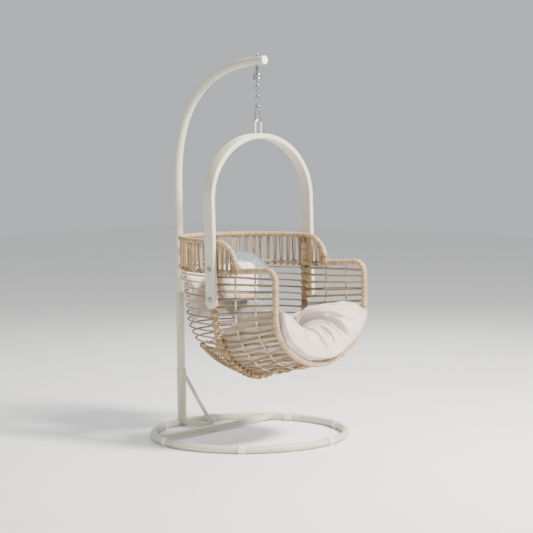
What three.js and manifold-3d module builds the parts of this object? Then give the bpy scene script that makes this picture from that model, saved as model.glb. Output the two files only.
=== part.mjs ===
// Hanging egg chair: a round-footed steel stand with a swan-neck post, a swivel and chain, and a
// wicker basket bolted inside a flat-bar hoop.  Millimetres, +Z up.  The chair faces -Y, the post
// stands behind it on +Y, and the model is symmetric about X = 0 apart from the feet and the chain.
import * as THREE from 'three';
import { mergeVertices } from 'three/addons/utils/BufferGeometryUtils.js';
import Module from 'manifold-3d';

const wasm = await Module();
wasm.setup();

// ---------------------------------------------------------------- driving dimensions
const GAP = 0.4; // clearance between pieces that touch
const WALL = 1.5; // steel tube wall
const ORIGIN_Y = -7.8; // middle of the whole object's depth, seen from the ring's centre

const RING_R = 483; // base ring centre line
const RING_TUBE_R = 17;
const RING_Z = 20; // ring centre line above the floor
const SPIGOT_REACH = 36; // how far the joint tubes enter each half of the ring
const RING_SPLIT = THREE.MathUtils.degToRad(83); // half angle of the rear arc, from +Y
const CHORD_Y = 228; // cross tube, in front of the post
const CHORD_TUBE_R = 15;
const CLIP_ANGLES = [-116, -73.5, -22.5, 19.5, 75, 128, 185.5]; // feet, degrees from +Y

const POST_FOOT_Y = 478; // post axis where it crosses the ring
const POST_LEAN = THREE.MathUtils.degToRad(0.25); // backward lean of the post
const SOCKET_TOP = 303;
const SOCKET_R = 24;
const POST_R = 21;
const POST_BOTTOM = 200; // lower end of the pole, inside the socket
const POST_JOINT = 700; // joint between the pole and the arch
const ARCH_START = 1270;
const ARCH_TIP = { y: -124, z: 1879 };
const ARCH_FULLNESS = 0.66; // 0.55 is a quarter ellipse, more is squarer

const HANG_Y = -76; // vertical line that the chair hangs on
const TWIST = THREE.MathUtils.degToRad(-48); // plane of the flat links and the hook
const EYE_Z = 1831; // centre of the eye bolt's lowest wire
const SWIVEL_Z = 1780; // underside of the swivel housing
const STEM_EYE_Z = 1753.1; // centre of the swivel eye's lowest wire
const LINK = { wire: 3, half: 16, bow: 7.5 }; // wire radius, half length and bow radius
const HOOK_TOP_Z = 1651.2;
const HOOK_BOW_R = 14;
const HOOK_BOTTOM_Z = 1572.6;
const LOOP_TOP_Z = 1585.6;

const HOOP_HALF_WIDTH = 363; // hoop strip, to the middle of its thickness
const HOOP_STRIP = { depth: 60, thickness: 25 };
const HOOP_TOP_Z = 1507;
const HOOP_SPRING_Z = 1200; // where the straight legs turn into the round top
const HOOP_FOOT_Z = 680;
const HOOP_LEAN = THREE.MathUtils.degToRad(1.15); // how far the legs come forward as they go down
const HOOP_BOLT_Z = [871, 725];

const HALF_WIDTH = 333; // basket frame, to the rail centre lines
const TOP_RAIL_Z = 1000;
const BELT_Z = 858;
const ARM_Z = { back: 864, front: 877 };
const RAIL_R = 13;
const BELT_R = 8;
const RIM_R = 15;
const STAKE_R = 5;
const BACK_DEPTH = 437;
const FRONT_HOOP = { y: -401, spring: 660, bottom: 405 };
const REAR_HOOP = { y: -10, spring: 658, bottom: 315 };
const ARM_END_Y = -150; // where the top rail lands on the arm rail
const TOP_RAIL_BEND = 124;
const ARM_BEND = 52;
const BOWL_POWER = 0.56; // 0.5 makes the hoops' round ends true ellipses
const BACK_POWER = 0.54; // the same, for the back seen from the side
const BACK_START_Y = REAR_HOOP.y + RIM_R + 5; // front edge of the back panels
const WEAVE = 5; // woven panel thickness
const EDGE = 3; // space between a panel and the rail it is tied to

const SEAT_REACH = { rear: -0.34, front: 1.11 }; // 0 is the rear hoop, 1 the front hoop
const ROUND_CUSHION = { x: 20, y: 92, z: 738, radius: 205, half: 50, lean: 0.3 };
const PILLOW = { x: -170, y: -18, z: 800, width: 260, height: 200, thickness: 84, lean: 0.15 };

const v = (x, y, z) => new THREE.Vector3(x, y, z);
const lerp = THREE.MathUtils.lerp;
const FLAT_DIR = v(Math.cos(TWIST), Math.sin(TWIST), 0); // along a flat link's width
const EDGE_DIR = v(-Math.sin(TWIST), Math.cos(TWIST), 0);
const UP = v(0, 0, 1);

// ---------------------------------------------------------------- materials
const finish = (color, roughness, metalness) => ({ color, roughness, metalness });
const IVORY = finish(0xd9d3bf, 0.45, 0.1);
const CHROME = finish(0xb9bcc0, 0.2, 1);
const STEEL = finish(0x8d9496, 0.4, 0.9);
const CLIP_WHITE = finish(0xf0efe9, 0.5, 0);
const RATTAN = finish(0xb9966a, 0.7, 0);
const STAKE = finish(0xb8ab84, 0.7, 0);
const COTTON = finish(0xe9e2dc, 0.95, 0);
const PLUSH = finish(0x9aa3ad, 1, 0);

const chair = new THREE.Group();
chair.position.y = -ORIGIN_Y;

function add(name, geometry, look, position = v(0, 0, 0)) {
  const mesh = new THREE.Mesh(geometry, new THREE.MeshStandardMaterial(look));
  mesh.name = name;
  mesh.position.copy(position);
  chair.add(mesh);
}

// ---------------------------------------------------------------- shape helpers
// A curve through chosen stations, so that straight runs cost one step.
class StationPath extends THREE.Curve {
  constructor(stations) {
    super();
    this.stations = stations;
  }

  getPointAt(u, target = v(0, 0, 0)) {
    return target.copy(this.stations[Math.round(u * (this.stations.length - 1))]);
  }

  getTangentAt(u, target = v(0, 0, 0)) {
    const last = this.stations.length - 1;
    const i = Math.round(u * last);
    const before = this.stations[Math.max(i - 1, 0)];
    const here = this.stations[i];
    const after = this.stations[Math.min(i + 1, last)];
    const arriving = here.clone().sub(before).normalize();
    return target.copy(after).sub(here).normalize().add(arriving).normalize();
  }
}

function ringPoints(radius, sides) {
  return Array.from({ length: sides }, (_, i) => {
    const angle = ((i + 0.5) / sides) * 2 * Math.PI;
    return new THREE.Vector2(radius * Math.cos(angle), radius * Math.sin(angle));
  });
}

function roundSection(radius, sides, boreRadius = 0, boreSides = 8) {
  const shape = new THREE.Shape(ringPoints(radius, sides));
  if (boreRadius) shape.holes.push(new THREE.Path(ringPoints(boreRadius, boreSides)));
  return shape;
}

function sweep(stations, section) {
  return new THREE.ExtrudeGeometry(section, {
    steps: stations.length - 1,
    extrudePath: new StationPath(stations),
    bevelEnabled: false,
  });
}

// Stations of a turn about a centre, from one direction towards another.
function turn(centre, from, to, radius, start, end, steps) {
  return Array.from({ length: steps + 1 }, (_, i) => {
    const angle = lerp(start, end, i / Math.max(steps, 1));
    return centre
      .clone()
      .addScaledVector(from, radius * Math.cos(angle))
      .addScaledVector(to, radius * Math.sin(angle));
  });
}

function solid(geometry) {
  const bare = geometry.clone();
  bare.deleteAttribute('normal');
  bare.deleteAttribute('uv');
  const merged = mergeVertices(bare, 1e-4);
  return new wasm.Manifold(
    new wasm.Mesh({
      numProp: 3,
      vertProperties: new Float32Array(merged.attributes.position.array),
      triVerts: new Uint32Array(merged.index.array),
    }),
  );
}

function fromSolid(manifold) {
  const mesh = manifold.getMesh();
  const geometry = new THREE.BufferGeometry();
  geometry.setAttribute('position', new THREE.BufferAttribute(mesh.vertProperties, 3));
  geometry.setIndex(new THREE.BufferAttribute(mesh.triVerts, 1));
  return geometry;
}

function rod(from, to, radius, sides = 12, bore = 0) {
  return sweep([from, to], roundSection(radius, sides, bore, sides));
}

function lathe(profile, segments) {
  const points = profile.map(([radius, height]) => new THREE.Vector2(radius, height));
  return new THREE.LatheGeometry(points, segments).rotateX(Math.PI / 2);
}

// A closed ring of wire in the plane of `along` and Z, stretched to a given half length.
function wireLoop(radius, wire, stretch, along) {
  const geometry = new THREE.TorusGeometry(radius, wire, 7, 12);
  const place = geometry.attributes.position;
  for (let i = 0; i < place.count; i += 1) {
    const y = place.getY(i);
    if (Math.abs(y) > 1e-6 * radius) place.setY(i, y + Math.sign(y) * stretch);
  }
  return geometry.rotateX(Math.PI / 2).rotateZ(Math.atan2(along.y, along.x));
}

// A closed sheet of the given thickness about surface(s, t), with s and t from 0 to 1.
function sheet(surface, sSteps, tSteps, thickness) {
  const positions = [];
  const index = [];
  const step = 1e-3;
  const columns = tSteps + 1;
  const layer = (sSteps + 1) * columns;
  for (const side of [-0.5, 0.5]) {
    for (let i = 0; i <= sSteps; i += 1) {
      for (let j = 0; j <= tSteps; j += 1) {
        const s = i / sSteps;
        const t = j / tSteps;
        const alongS = surface(Math.min(s + step, 1), t).sub(surface(Math.max(s - step, 0), t));
        const alongT = surface(s, Math.min(t + step, 1)).sub(surface(s, Math.max(t - step, 0)));
        const normal = alongS.cross(alongT).normalize();
        const amount = typeof thickness === 'function' ? thickness(s, t, side) : side * thickness;
        positions.push(...surface(s, t).addScaledVector(normal, amount).toArray());
      }
    }
  }
  const quad = (a, b, c, d) => index.push(a, b, c, a, c, d);
  for (let i = 0; i < sSteps; i += 1) {
    for (let j = 0; j < tSteps; j += 1) {
      const a = i * columns + j;
      quad(a, a + 1, a + columns + 1, a + columns);
      quad(layer + a, layer + a + columns, layer + a + columns + 1, layer + a + 1);
    }
  }
  for (let i = 0; i < sSteps; i += 1) {
    const low = i * columns;
    const high = low + tSteps;
    quad(low, low + columns, layer + low + columns, layer + low);
    quad(high, layer + high, layer + high + columns, high + columns);
  }
  for (let j = 0; j < tSteps; j += 1) {
    const last = sSteps * columns + j;
    quad(j, layer + j, layer + j + 1, j + 1);
    quad(last, last + 1, layer + last + 1, layer + last);
  }
  const geometry = new THREE.BufferGeometry();
  geometry.setAttribute('position', new THREE.Float32BufferAttribute(positions, 3));
  geometry.setIndex(facesOutward(positions, index) ? index : index.reverse());
  return geometry;
}

// Whether a closed mesh's volume, summed over its triangles, comes out positive.
function facesOutward(positions, index) {
  let volume = 0;
  for (let i = 0; i < index.length; i += 3) {
    const [a, b, c] = [0, 1, 2].map((k) => v(0, 0, 0).fromArray(positions, 3 * index[i + k]));
    volume += a.dot(b.cross(c));
  }
  return volume > 0;
}

// ---------------------------------------------------------------- stand
const ringCentre = v(0, 0, RING_Z);
const BACK = v(0, 1, 0);
const RIGHT = v(1, 0, 0);

// Stations along the ring, with a first and last step as long as the spigots reach.
function ringArc(start, end, steps) {
  const at = (from, to, count) => turn(ringCentre, BACK, RIGHT, RING_R, from, to, count);
  const reach = SPIGOT_REACH / RING_R;
  return [...at(start, start, 0), ...at(start + reach, end - reach, steps), ...at(end, end, 0)];
}

function ringTube(start, end, steps) {
  const section = roundSection(RING_TUBE_R, 12, RING_TUBE_R - WALL);
  return sweep(ringArc(start, end, steps), section);
}

function ringCutter(extra) {
  const geometry = new THREE.TorusGeometry(RING_R, RING_TUBE_R + extra, 16, 72);
  return solid(geometry.translate(0, 0, RING_Z));
}

function addRing() {
  const slit = (4 * GAP) / RING_R;
  add('base_ring_rear', ringTube(-RING_SPLIT, RING_SPLIT, 28), IVORY);
  add('base_ring_front', ringTube(RING_SPLIT + slit, 2 * Math.PI - RING_SPLIT - slit, 32), IVORY);
  const section = roundSection(RING_TUBE_R - WALL - 2.2, 10, RING_TUBE_R - 2 * WALL - 2.2);
  for (const [side, angle] of [['right', RING_SPLIT], ['left', -RING_SPLIT]]) {
    const reach = SPIGOT_REACH / RING_R;
    const stations = turn(ringCentre, BACK, RIGHT, RING_R, angle - reach, angle + reach, 2);
    add(`ring_spigot_${side}`, sweep(stations, section), STEEL);
  }
}

function postPoint(z) {
  return v(0, POST_FOOT_Y + (z - RING_Z) * Math.tan(POST_LEAN), z);
}

function hollowRod(from, to, radius) {
  return solid(rod(from, to, radius, 14, radius - WALL));
}

function addChordAndStub() {
  const ring = ringCutter(2 * GAP);
  const reach = Math.sqrt(RING_R ** 2 - CHORD_Y ** 2) + 4;
  const chordFrom = v(-reach, CHORD_Y, RING_Z);
  const chordTo = v(reach, CHORD_Y, RING_Z);
  const chord = hollowRod(chordFrom, chordTo, CHORD_TUBE_R).subtract(ring);
  const pieces = chord.decompose().sort((a, b) => b.volume() - a.volume());
  add('base_chord', fromSolid(pieces[0]), IVORY);
  const chordCutter = solid(rod(chordFrom, chordTo, CHORD_TUBE_R + GAP, 14));
  const stub = hollowRod(v(0, CHORD_Y, RING_Z), v(0, RING_R, RING_Z), CHORD_TUBE_R);
  const trimmed = stub.subtract(ring).subtract(chordCutter).decompose();
  add('base_stub', fromSolid(trimmed.sort((a, b) => b.volume() - a.volume())[0]), IVORY);
}

function addSocketAndBrace() {
  const socket = hollowRod(postPoint(RING_Z + 2), postPoint(SOCKET_TOP), SOCKET_R);
  const stubCutter = solid(rod(v(0, 300, RING_Z), v(0, RING_R, RING_Z), CHORD_TUBE_R + GAP, 14));
  const trimmed = socket.subtract(ringCutter(2 * GAP)).subtract(stubCutter).decompose();
  add('post_socket', fromSolid(trimmed.sort((a, b) => b.volume() - a.volume())[0]), IVORY);
  const braceFoot = v(0, CHORD_Y + 36, RING_Z + 4);
  const braceHead = v(0, POST_FOOT_Y - 12, 282);
  const brace = hollowRod(braceFoot, braceHead, 10)
    .subtract(solid(rod(v(0, 200, RING_Z), v(0, RING_R, RING_Z), CHORD_TUBE_R + GAP, 14)))
    .subtract(solid(rod(postPoint(RING_Z), postPoint(SOCKET_TOP + 40), SOCKET_R + 2 * GAP, 14)));
  const parts = brace.decompose().sort((a, b) => b.volume() - a.volume());
  add('post_brace', fromSolid(parts[0]), IVORY);
}

function archStations(steps) {
  const start = postPoint(ARCH_START);
  const rise = ARCH_TIP.z - ARCH_START;
  const run = start.y - ARCH_TIP.y;
  const bend = new THREE.CubicBezierCurve3(
    start,
    start.clone().add(v(0, Math.tan(POST_LEAN) * ARCH_FULLNESS * rise, ARCH_FULLNESS * rise)),
    v(0, ARCH_TIP.y + ARCH_FULLNESS * run, ARCH_TIP.z - 4),
    v(0, ARCH_TIP.y, ARCH_TIP.z),
  );
  return [postPoint(POST_JOINT + GAP), ...bend.getSpacedPoints(steps)];
}

function addPost() {
  const section = roundSection(POST_R, 14, POST_R - WALL, 8);
  add('post_pole', sweep([postPoint(POST_BOTTOM), postPoint(POST_JOINT)], section), IVORY);
  const sleeve = POST_R - WALL - 1.8;
  add(
    'post_sleeve',
    rod(postPoint(POST_JOINT - 90), postPoint(POST_JOINT + 90), sleeve, 10, sleeve - 2),
    STEEL,
  );
  const stations = archStations(16);
  const boltHole = solid(rod(v(0, HANG_Y, 1700), v(0, HANG_Y, 2000), 4.6, 12));
  add('post_arch', fromSolid(solid(sweep(stations, section)).subtract(boltHole)), IVORY);
  addEndCap(stations);
}

function addEndCap(stations) {
  const tip = stations[stations.length - 1];
  const outward = tip.clone().sub(stations[stations.length - 2]).normalize();
  const plug = POST_R - WALL - 2.4;
  const cap = lathe([[0, -14], [plug, -14], [plug, GAP], [POST_R + 1, GAP], [POST_R + 1, 3],
    [POST_R - 2, 6], [0, 6]], 16);
  cap.applyQuaternion(new THREE.Quaternion().setFromUnitVectors(UP, outward));
  add('arch_end_cap', cap, CLIP_WHITE, tip);
}

// A snap-on foot: a sleeve round the ring with two collars, cut flat where it stands.
function addClips() {
  const bore = RING_TUBE_R + 1.5;
  const profile = [[bore, -18], [22.4, -18], [22.4, -13], [20.4, -12], [20.4, 12], [22.4, 13],
    [22.4, 18], [bore, 18], [bore, -18]];
  const sleeve = lathe(profile, 14).rotateY(Math.PI / 2);
  const floor = solid(new THREE.BoxGeometry(80, 80, 40).translate(0, 0, -20 - RING_Z));
  const foot = fromSolid(solid(sleeve).subtract(floor));
  CLIP_ANGLES.forEach((degrees, i) => {
    const angle = THREE.MathUtils.degToRad(degrees);
    const place = v(-RING_R * Math.sin(angle), RING_R * Math.cos(angle), RING_Z);
    add(`foot_clip_${i + 1}`, foot.clone().rotateZ(angle), CLIP_WHITE, place);
  });
}

// ---------------------------------------------------------------- suspension
function addEyeBolt() {
  const eye = solid(wireLoop(10, 4, 0, RIGHT).translate(0, 0, EYE_Z + 10));
  const shank = solid(rod(v(0, 0, EYE_Z + 20), v(0, 0, 1912), 4, 12));
  add('eye_bolt', fromSolid(eye.add(shank)), CHROME, v(0, HANG_Y, 0));
  const washer = lathe([[4.5, 0], [11, 0], [11, 1.8], [4.5, 1.8], [4.5, 0]], 16);
  add('eye_washer', washer, CHROME, v(0, HANG_Y, 1900));
  const nut = lathe([[0, 11], [5, 10.4], [5, 0], [9, 0], [9, 6], [6.5, 10], [3, 12],
    [0, 12.6]], 6);
  add('eye_nut', nut, STEEL, v(0, HANG_Y, 1902.2));
}

function addShackle() {
  const reach = 4 + 3.5 + GAP;
  const bow = turn(v(0, 0, EYE_Z), BACK, UP, reach, 0, Math.PI, 8);
  const stations = [v(0, reach, SWIVEL_Z + 34), ...bow, v(0, -reach, SWIVEL_Z + 34)];
  const base = lathe([[0, 0], [14, 0], [14, 3], [0, 3]], 16).translate(0, 0, SWIVEL_Z + 33.4);
  const shackle = solid(sweep(stations, roundSection(3.5, 8))).add(solid(base));
  add('swivel_shackle', fromSolid(shackle), CHROME, v(0, HANG_Y, 0));
}

function addSwivel() {
  const housing = lathe([[0, 28], [15, 28], [15, 5], [7, 5], [7, 0], [18, 0], [20.5, 3],
    [20.5, 30], [18, 33], [0, 33]], 20);
  add('swivel_housing', housing, CHROME, v(0, HANG_Y, SWIVEL_Z));
  const bearing = lathe([[7, 5.4], [14, 5.4], [14, 11], [7, 11], [7, 5.4]], 16);
  add('swivel_bearing', bearing, STEEL, v(0, HANG_Y, SWIVEL_Z));
  const radius = 8.5;
  const stem = lathe([[0, STEM_EYE_Z + 2 * radius - 2 - SWIVEL_Z], [5.5, -6], [5.5, 11.4],
    [13, 11.4], [13, 17], [0, 17]], 14).translate(0, 0, SWIVEL_Z);
  const eye = wireLoop(radius, 3.5, 0, EDGE_DIR).translate(0, 0, STEM_EYE_Z + radius);
  add('swivel_eye', fromSolid(solid(stem).add(solid(eye))), CHROME, v(0, HANG_Y, 0));
}

function addChain() {
  const pitch = 2 * LINK.half - 2 * LINK.wire - GAP;
  const firstTop = STEM_EYE_Z + 3.5 + LINK.wire + GAP;
  for (let i = 0; i < 4; i += 1) {
    const link = wireLoop(LINK.bow, LINK.wire, LINK.half - LINK.bow, i % 2 ? EDGE_DIR : FLAT_DIR);
    const height = firstTop - LINK.half - i * pitch;
    add(`chain_link_${i + 1}`, link, CHROME, v(0, HANG_Y, height));
  }
}

// The hook is a pear-shaped snap hook; its gate closes the +F side, F being FLAT_DIR.
function addHook() {
  const neck = LINK.wire + 4 + GAP;
  const bowCentre = HOOK_BOTTOM_Z + HOOK_BOW_R;
  const flat = (across, height) => FLAT_DIR.clone().multiplyScalar(across).setZ(height);
  const top = turn(v(0, 0, HOOK_TOP_Z), FLAT_DIR, UP, neck, 0, Math.PI, 7);
  const bottom = turn(v(0, 0, bowCentre), FLAT_DIR, UP, HOOK_BOW_R, Math.PI, 2 * Math.PI, 8);
  const stations = [flat(neck + 0.6, HOOK_TOP_Z - 9), ...top, ...bottom,
    flat(HOOK_BOW_R, bowCentre + 9)];
  const hook = sweep(stations, roundSection(4, 8));
  add('snap_hook', hook, CHROME, v(0, HANG_Y, 0));
  const gateTop = flat(neck + 0.8, HOOK_TOP_Z - 10.4);
  const gateEnd = flat(HOOK_BOW_R, bowCentre + 9.8);
  add('snap_hook_gate', rod(gateTop, gateEnd, 3.3, 8), CHROME, v(0, HANG_Y, 0));
}

// ---------------------------------------------------------------- hoop
// Where the middle of the leaning hoop is at a height.
function hoopY(height) {
  return (height - HOOP_TOP_Z) * Math.tan(HOOP_LEAN);
}

function addHoop() {
  const rise = HOOP_TOP_Z - HOOP_SPRING_Z;
  const arc = Array.from({ length: 17 }, (_, i) => {
    const angle = Math.PI - (i / 16) * Math.PI;
    return v(HOOP_HALF_WIDTH * Math.cos(angle), 0, HOOP_SPRING_Z + rise * Math.sin(angle));
  });
  const stations = [v(-HOOP_HALF_WIDTH, 0, HOOP_FOOT_Z), ...arc,
    v(HOOP_HALF_WIDTH, 0, HOOP_FOOT_Z)];
  const halfDepth = HOOP_STRIP.depth / 2;
  const halfThickness = HOOP_STRIP.thickness / 2;
  let hoop = solid(sweep(stations, tubeRectangle(halfDepth, halfThickness)));
  for (const height of HOOP_BOLT_Z) {
    hoop = hoop.subtract(solid(rod(v(-400, 0, height), v(400, 0, height), 4.6, 10)));
  }
  for (const side of [-1, 1]) hoop = hoop.subtract(footRounder(side));
  const leaning = hoop.warp((point) => {
    point[1] += hoopY(point[2]);
  });
  add('hoop', fromSolid(leaning), IVORY, v(0, HANG_Y, 0));
  addLoop();
}

function tubeRectangle(halfDepth, halfThickness) {
  const outline = (depth, thickness, corner) => [[depth, thickness - corner],
    [depth - corner, thickness], [corner - depth, thickness], [-depth, thickness - corner],
    [-depth, corner - thickness], [corner - depth, -thickness], [depth - corner, -thickness],
    [depth, corner - thickness]].map(([x, y]) => new THREE.Vector2(x, y));
  const shape = new THREE.Shape(outline(halfDepth, halfThickness, 4));
  const bore = outline(halfDepth - WALL, halfThickness - WALL, 2);
  shape.holes.push(new THREE.Path(bore));
  return shape;
}

// What is cut from a leg's foot to leave its lower end round, seen from the side.
function footRounder(side) {
  const radius = HOOP_STRIP.depth / 2;
  const block = new THREE.BoxGeometry(60, 80, 2 * radius);
  block.translate(side * HOOP_HALF_WIDTH, 0, HOOP_FOOT_Z);
  const round = rod(v(-500, 0, HOOP_FOOT_Z + radius), v(500, 0, HOOP_FOOT_Z + radius), radius, 20);
  return solid(block).subtract(solid(round));
}

function addLoop() {
  const radius = 20;
  const foot = HOOP_TOP_Z + HOOP_STRIP.thickness / 2 + GAP;
  const bow = turn(v(0, 0, LOOP_TOP_Z - radius), RIGHT, UP, radius, Math.PI, 0, 10);
  const stations = [v(-radius, 0, foot), ...bow, v(radius, 0, foot)];
  add('hoop_loop', sweep(stations, roundSection(5, 8)), IVORY, v(0, HANG_Y, 0));
}

function addSideBolts() {
  const outside = HOOP_HALF_WIDTH + HOOP_STRIP.thickness / 2 + GAP;
  const inside = HALF_WIDTH - RIM_R - 8;
  const bolt = [[0, inside - 3], [4, inside - 3], [4, outside], [15, outside], [15, outside + 2],
    [8.5, outside + 2.2], [8.5, outside + 5], [5, outside + 8], [0, outside + 8]];
  const nut = [[5, 0], [8, 0], [8, 6], [5, 6], [5, 0]];
  for (const [side, sign] of [['right', 1], ['left', -1]]) {
    HOOP_BOLT_Z.forEach((height, i) => {
      const place = v(0, HANG_Y + hoopY(height), height);
      const name = `${side}_${i ? 'lower' : 'upper'}`;
      add(`side_bolt_${name}`, lathe(bolt, 12).rotateY((sign * Math.PI) / 2), CHROME, place);
      const nutPlace = place.clone().setX(sign * (HALF_WIDTH - RIM_R - 7));
      add(`side_nut_${name}`, lathe(nut, 6).rotateY((sign * Math.PI) / 2), CHROME, nutPlace);
    });
  }
}

// ---------------------------------------------------------------- basket frame
// Half width of a hoop at a height: straight above its spring line, a round bowl below it.
function bowlFraction(height, spring, bottom) {
  const drop = THREE.MathUtils.clamp((spring - height) / (spring - bottom), 0, 1);
  return (1 - drop ** 2) ** BOWL_POWER;
}

// One side of a U hoop from its spring line to its lowest point, then up the other side.
function bowlStations(hoop, steps) {
  return Array.from({ length: 2 * steps + 1 }, (_, i) => {
    const angle = (i / (2 * steps)) * Math.PI;
    const height = hoop.spring - (hoop.spring - hoop.bottom) * Math.sin(angle);
    const half = HALF_WIDTH * bowlFraction(height, hoop.spring, hoop.bottom);
    return v(-Math.sign(Math.cos(angle)) * (i === steps ? 0 : half), hoop.y, height);
  });
}

function mirrored(stations) {
  return stations.map((p) => v(-p.x, p.y, p.z)).reverse();
}

function addFrontHoop() {
  const bend = turn(v(-HALF_WIDTH, FRONT_HOOP.y + ARM_BEND, ARM_Z.front - ARM_BEND),
    UP, v(0, -1, 0), ARM_BEND, 0, Math.PI / 2, 5);
  const arm = [v(-HALF_WIDTH, ARM_END_Y + RAIL_R, ARM_Z.back), ...bend];
  const stations = [...arm, ...bowlStations(FRONT_HOOP, 9), ...mirrored(arm)];
  add('front_hoop', sweep(stations, roundSection(RIM_R, 10)), RATTAN, v(0, HANG_Y, 0));
}

function addRearHoop() {
  const top = TOP_RAIL_Z - RAIL_R - 1;
  const stations = [v(-HALF_WIDTH, REAR_HOOP.y, top), ...bowlStations(REAR_HOOP, 10),
    v(HALF_WIDTH, REAR_HOOP.y, top)];
  let hoop = solid(sweep(stations, roundSection(RIM_R, 10)));
  for (const height of HOOP_BOLT_Z) {
    const end = v(HALF_WIDTH + 30, hoopY(height), height);
    const hole = rod(end.clone().setX(-end.x), end, 4.6, 10);
    hoop = hoop.subtract(solid(hole));
  }
  add('rear_hoop', fromSolid(hoop), RATTAN, v(0, HANG_Y, 0));
}

function backCurve(depth, halfWidth, height, start, end, steps) {
  return Array.from({ length: steps + 1 }, (_, i) => {
    const angle = lerp(start, end, i / steps);
    return v(-halfWidth * Math.cos(angle), depth * Math.sin(angle), height);
  });
}

function addTopRail() {
  const bendCentre = v(-HALF_WIDTH, ARM_END_Y + TOP_RAIL_BEND, TOP_RAIL_Z - TOP_RAIL_BEND);
  const landing = Math.asin((ARM_Z.back + RIM_R + EDGE - bendCentre.z) / TOP_RAIL_BEND);
  const bend = turn(bendCentre, v(0, -1, 0), UP, TOP_RAIL_BEND, landing, Math.PI / 2, 6);
  const around = backCurve(BACK_DEPTH, HALF_WIDTH, TOP_RAIL_Z, 0, Math.PI, 20);
  const stations = [...bend, ...around, ...mirrored(bend)];
  const section = roundSection(RAIL_R, 10);
  add('top_rail', sweep(dropRepeats(stations), section), RATTAN, v(0, HANG_Y, 0));
}

function dropRepeats(stations) {
  return stations.filter((p, i) => i === 0 || p.distanceTo(stations[i - 1]) > 1);
}

function addBelt() {
  const clear = Math.asin((REAR_HOOP.y + RIM_R + EDGE) / BACK_DEPTH) + 0.02;
  const stations = backCurve(BACK_DEPTH - 3, HALF_WIDTH, BELT_Z, clear, Math.PI - clear, 18);
  add('belt_rail', sweep(stations, roundSection(BELT_R, 8)), STEEL, v(0, HANG_Y, 0));
  for (const [side, sign] of [['left', -1], ['right', 1]]) {
    const rear = v(sign * HALF_WIDTH, REAR_HOOP.y - RIM_R - EDGE, BELT_Z);
    const front = v(sign * HALF_WIDTH, ARM_END_Y + RAIL_R + EDGE, BELT_Z);
    add(`belt_side_${side}`, rod(rear, front, BELT_R, 8), STEEL, v(0, HANG_Y, 0));
  }
}

// Point on the seat trough: f runs from the rear hoop to the front hoop, e from the left arm
// rail under the seat to the right one, and outward is the offset from the rails' centre lines.
function troughPoint(f, e, top, outward) {
  const spring = lerp(REAR_HOOP.spring, FRONT_HOOP.spring, f);
  const bottom = lerp(REAR_HOOP.bottom, FRONT_HOOP.bottom, f);
  const straight = top - spring;
  const half = (straight + 1.25 * (spring - bottom)) / straight;
  const run = Math.abs(2 * e - 1) * half;
  const y = lerp(REAR_HOOP.y, FRONT_HOOP.y, f);
  const side = e < 0.5 ? -1 : 1;
  if (run > half - 1) {
    return v(side * (HALF_WIDTH + outward), y, spring + (run - half + 1) * straight);
  }
  const angle = (1 - run / (half - 1)) * (Math.PI / 2);
  const height = spring - (spring - bottom) * Math.sin(angle);
  const width = HALF_WIDTH * bowlFraction(height, spring, bottom);
  const lift = outward * Math.sin(angle);
  return v(side * (width + outward * Math.cos(angle)), y, height - lift);
}

function addStakes() {
  const places = [['rear', 0.36], ['front', 0.69]];
  for (const [name, f] of places) {
    const top = lerp(ARM_Z.back, ARM_Z.front, f) - RIM_R - 2 * EDGE;
    const half = Array.from({ length: 11 }, (_, i) => troughPoint(f, (i / 10) * 0.5, top, 7));
    const stations = dropRepeats([...half.slice(0, 10), ...mirrored(half)]);
    add(`seat_stake_${name}`, sweep(stations, roundSection(STAKE_R, 6)), STAKE, v(0, HANG_Y, 0));
  }
}

// ---------------------------------------------------------------- woven panels
function addTrough() {
  const first = (RIM_R + EDGE + 1) / (REAR_HOOP.y - FRONT_HOOP.y);
  const top = ARM_Z.back - RIM_R - EDGE - 6;
  for (const [name, from, to] of [['left', 0, 0.497], ['right', 0.503, 1]]) {
    const surface = (s, t) => troughPoint(lerp(first, 1 - first, t), lerp(from, to, s), top, -3);
    add(`weave_seat_${name}`, sheet(surface, 12, 3, WEAVE), RATTAN, v(0, HANG_Y, 0));
  }
}

// Point on the back below the belt: a runs round it from left to right, height is absolute.
function backPoint(a, height, inward) {
  const { spring, bottom } = REAR_HOOP;
  const above = Math.max(height - spring, 0) / (BELT_Z - spring);
  const drop = THREE.MathUtils.clamp((spring - height) / (spring - bottom), 0, 1);
  const depth = lerp(394, BACK_DEPTH - 6, above) * (1 - drop ** 2) ** BACK_POWER;
  const half = HALF_WIDTH * bowlFraction(height, spring, bottom);
  const angle = a * Math.PI;
  const y = lerp(BACK_START_Y, depth - inward, Math.sin(angle));
  return v(-(half - inward) * Math.cos(angle), Math.max(y, BACK_START_Y), height);
}

function addBackPanels() {
  const low = REAR_HOOP.bottom + RIM_R + EDGE;
  const shell = (s, t) => {
    const height = lerp(BELT_Z - BELT_R - EDGE, low, 1 - (1 - t) ** 1.7);
    return backPoint(lerp(0.01, 0.99, s), height, 0);
  };
  add('weave_back', sheet(shell, 14, 7, -WEAVE), RATTAN, v(0, HANG_Y, 0));
  const band = (s, t) => {
    const height = lerp(BELT_Z + BELT_R + EDGE, TOP_RAIL_Z - RAIL_R - EDGE, t);
    const angle = lerp(0.02, 0.98, s) * Math.PI;
    const depth = lerp(BACK_DEPTH - 3, BACK_DEPTH, t);
    const y = lerp(BACK_START_Y, depth, Math.sin(angle));
    return v(-HALF_WIDTH * Math.cos(angle), y, height);
  };
  add('weave_band', sheet(band, 16, 1, WEAVE), RATTAN, v(0, HANG_Y, 0));
}

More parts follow.
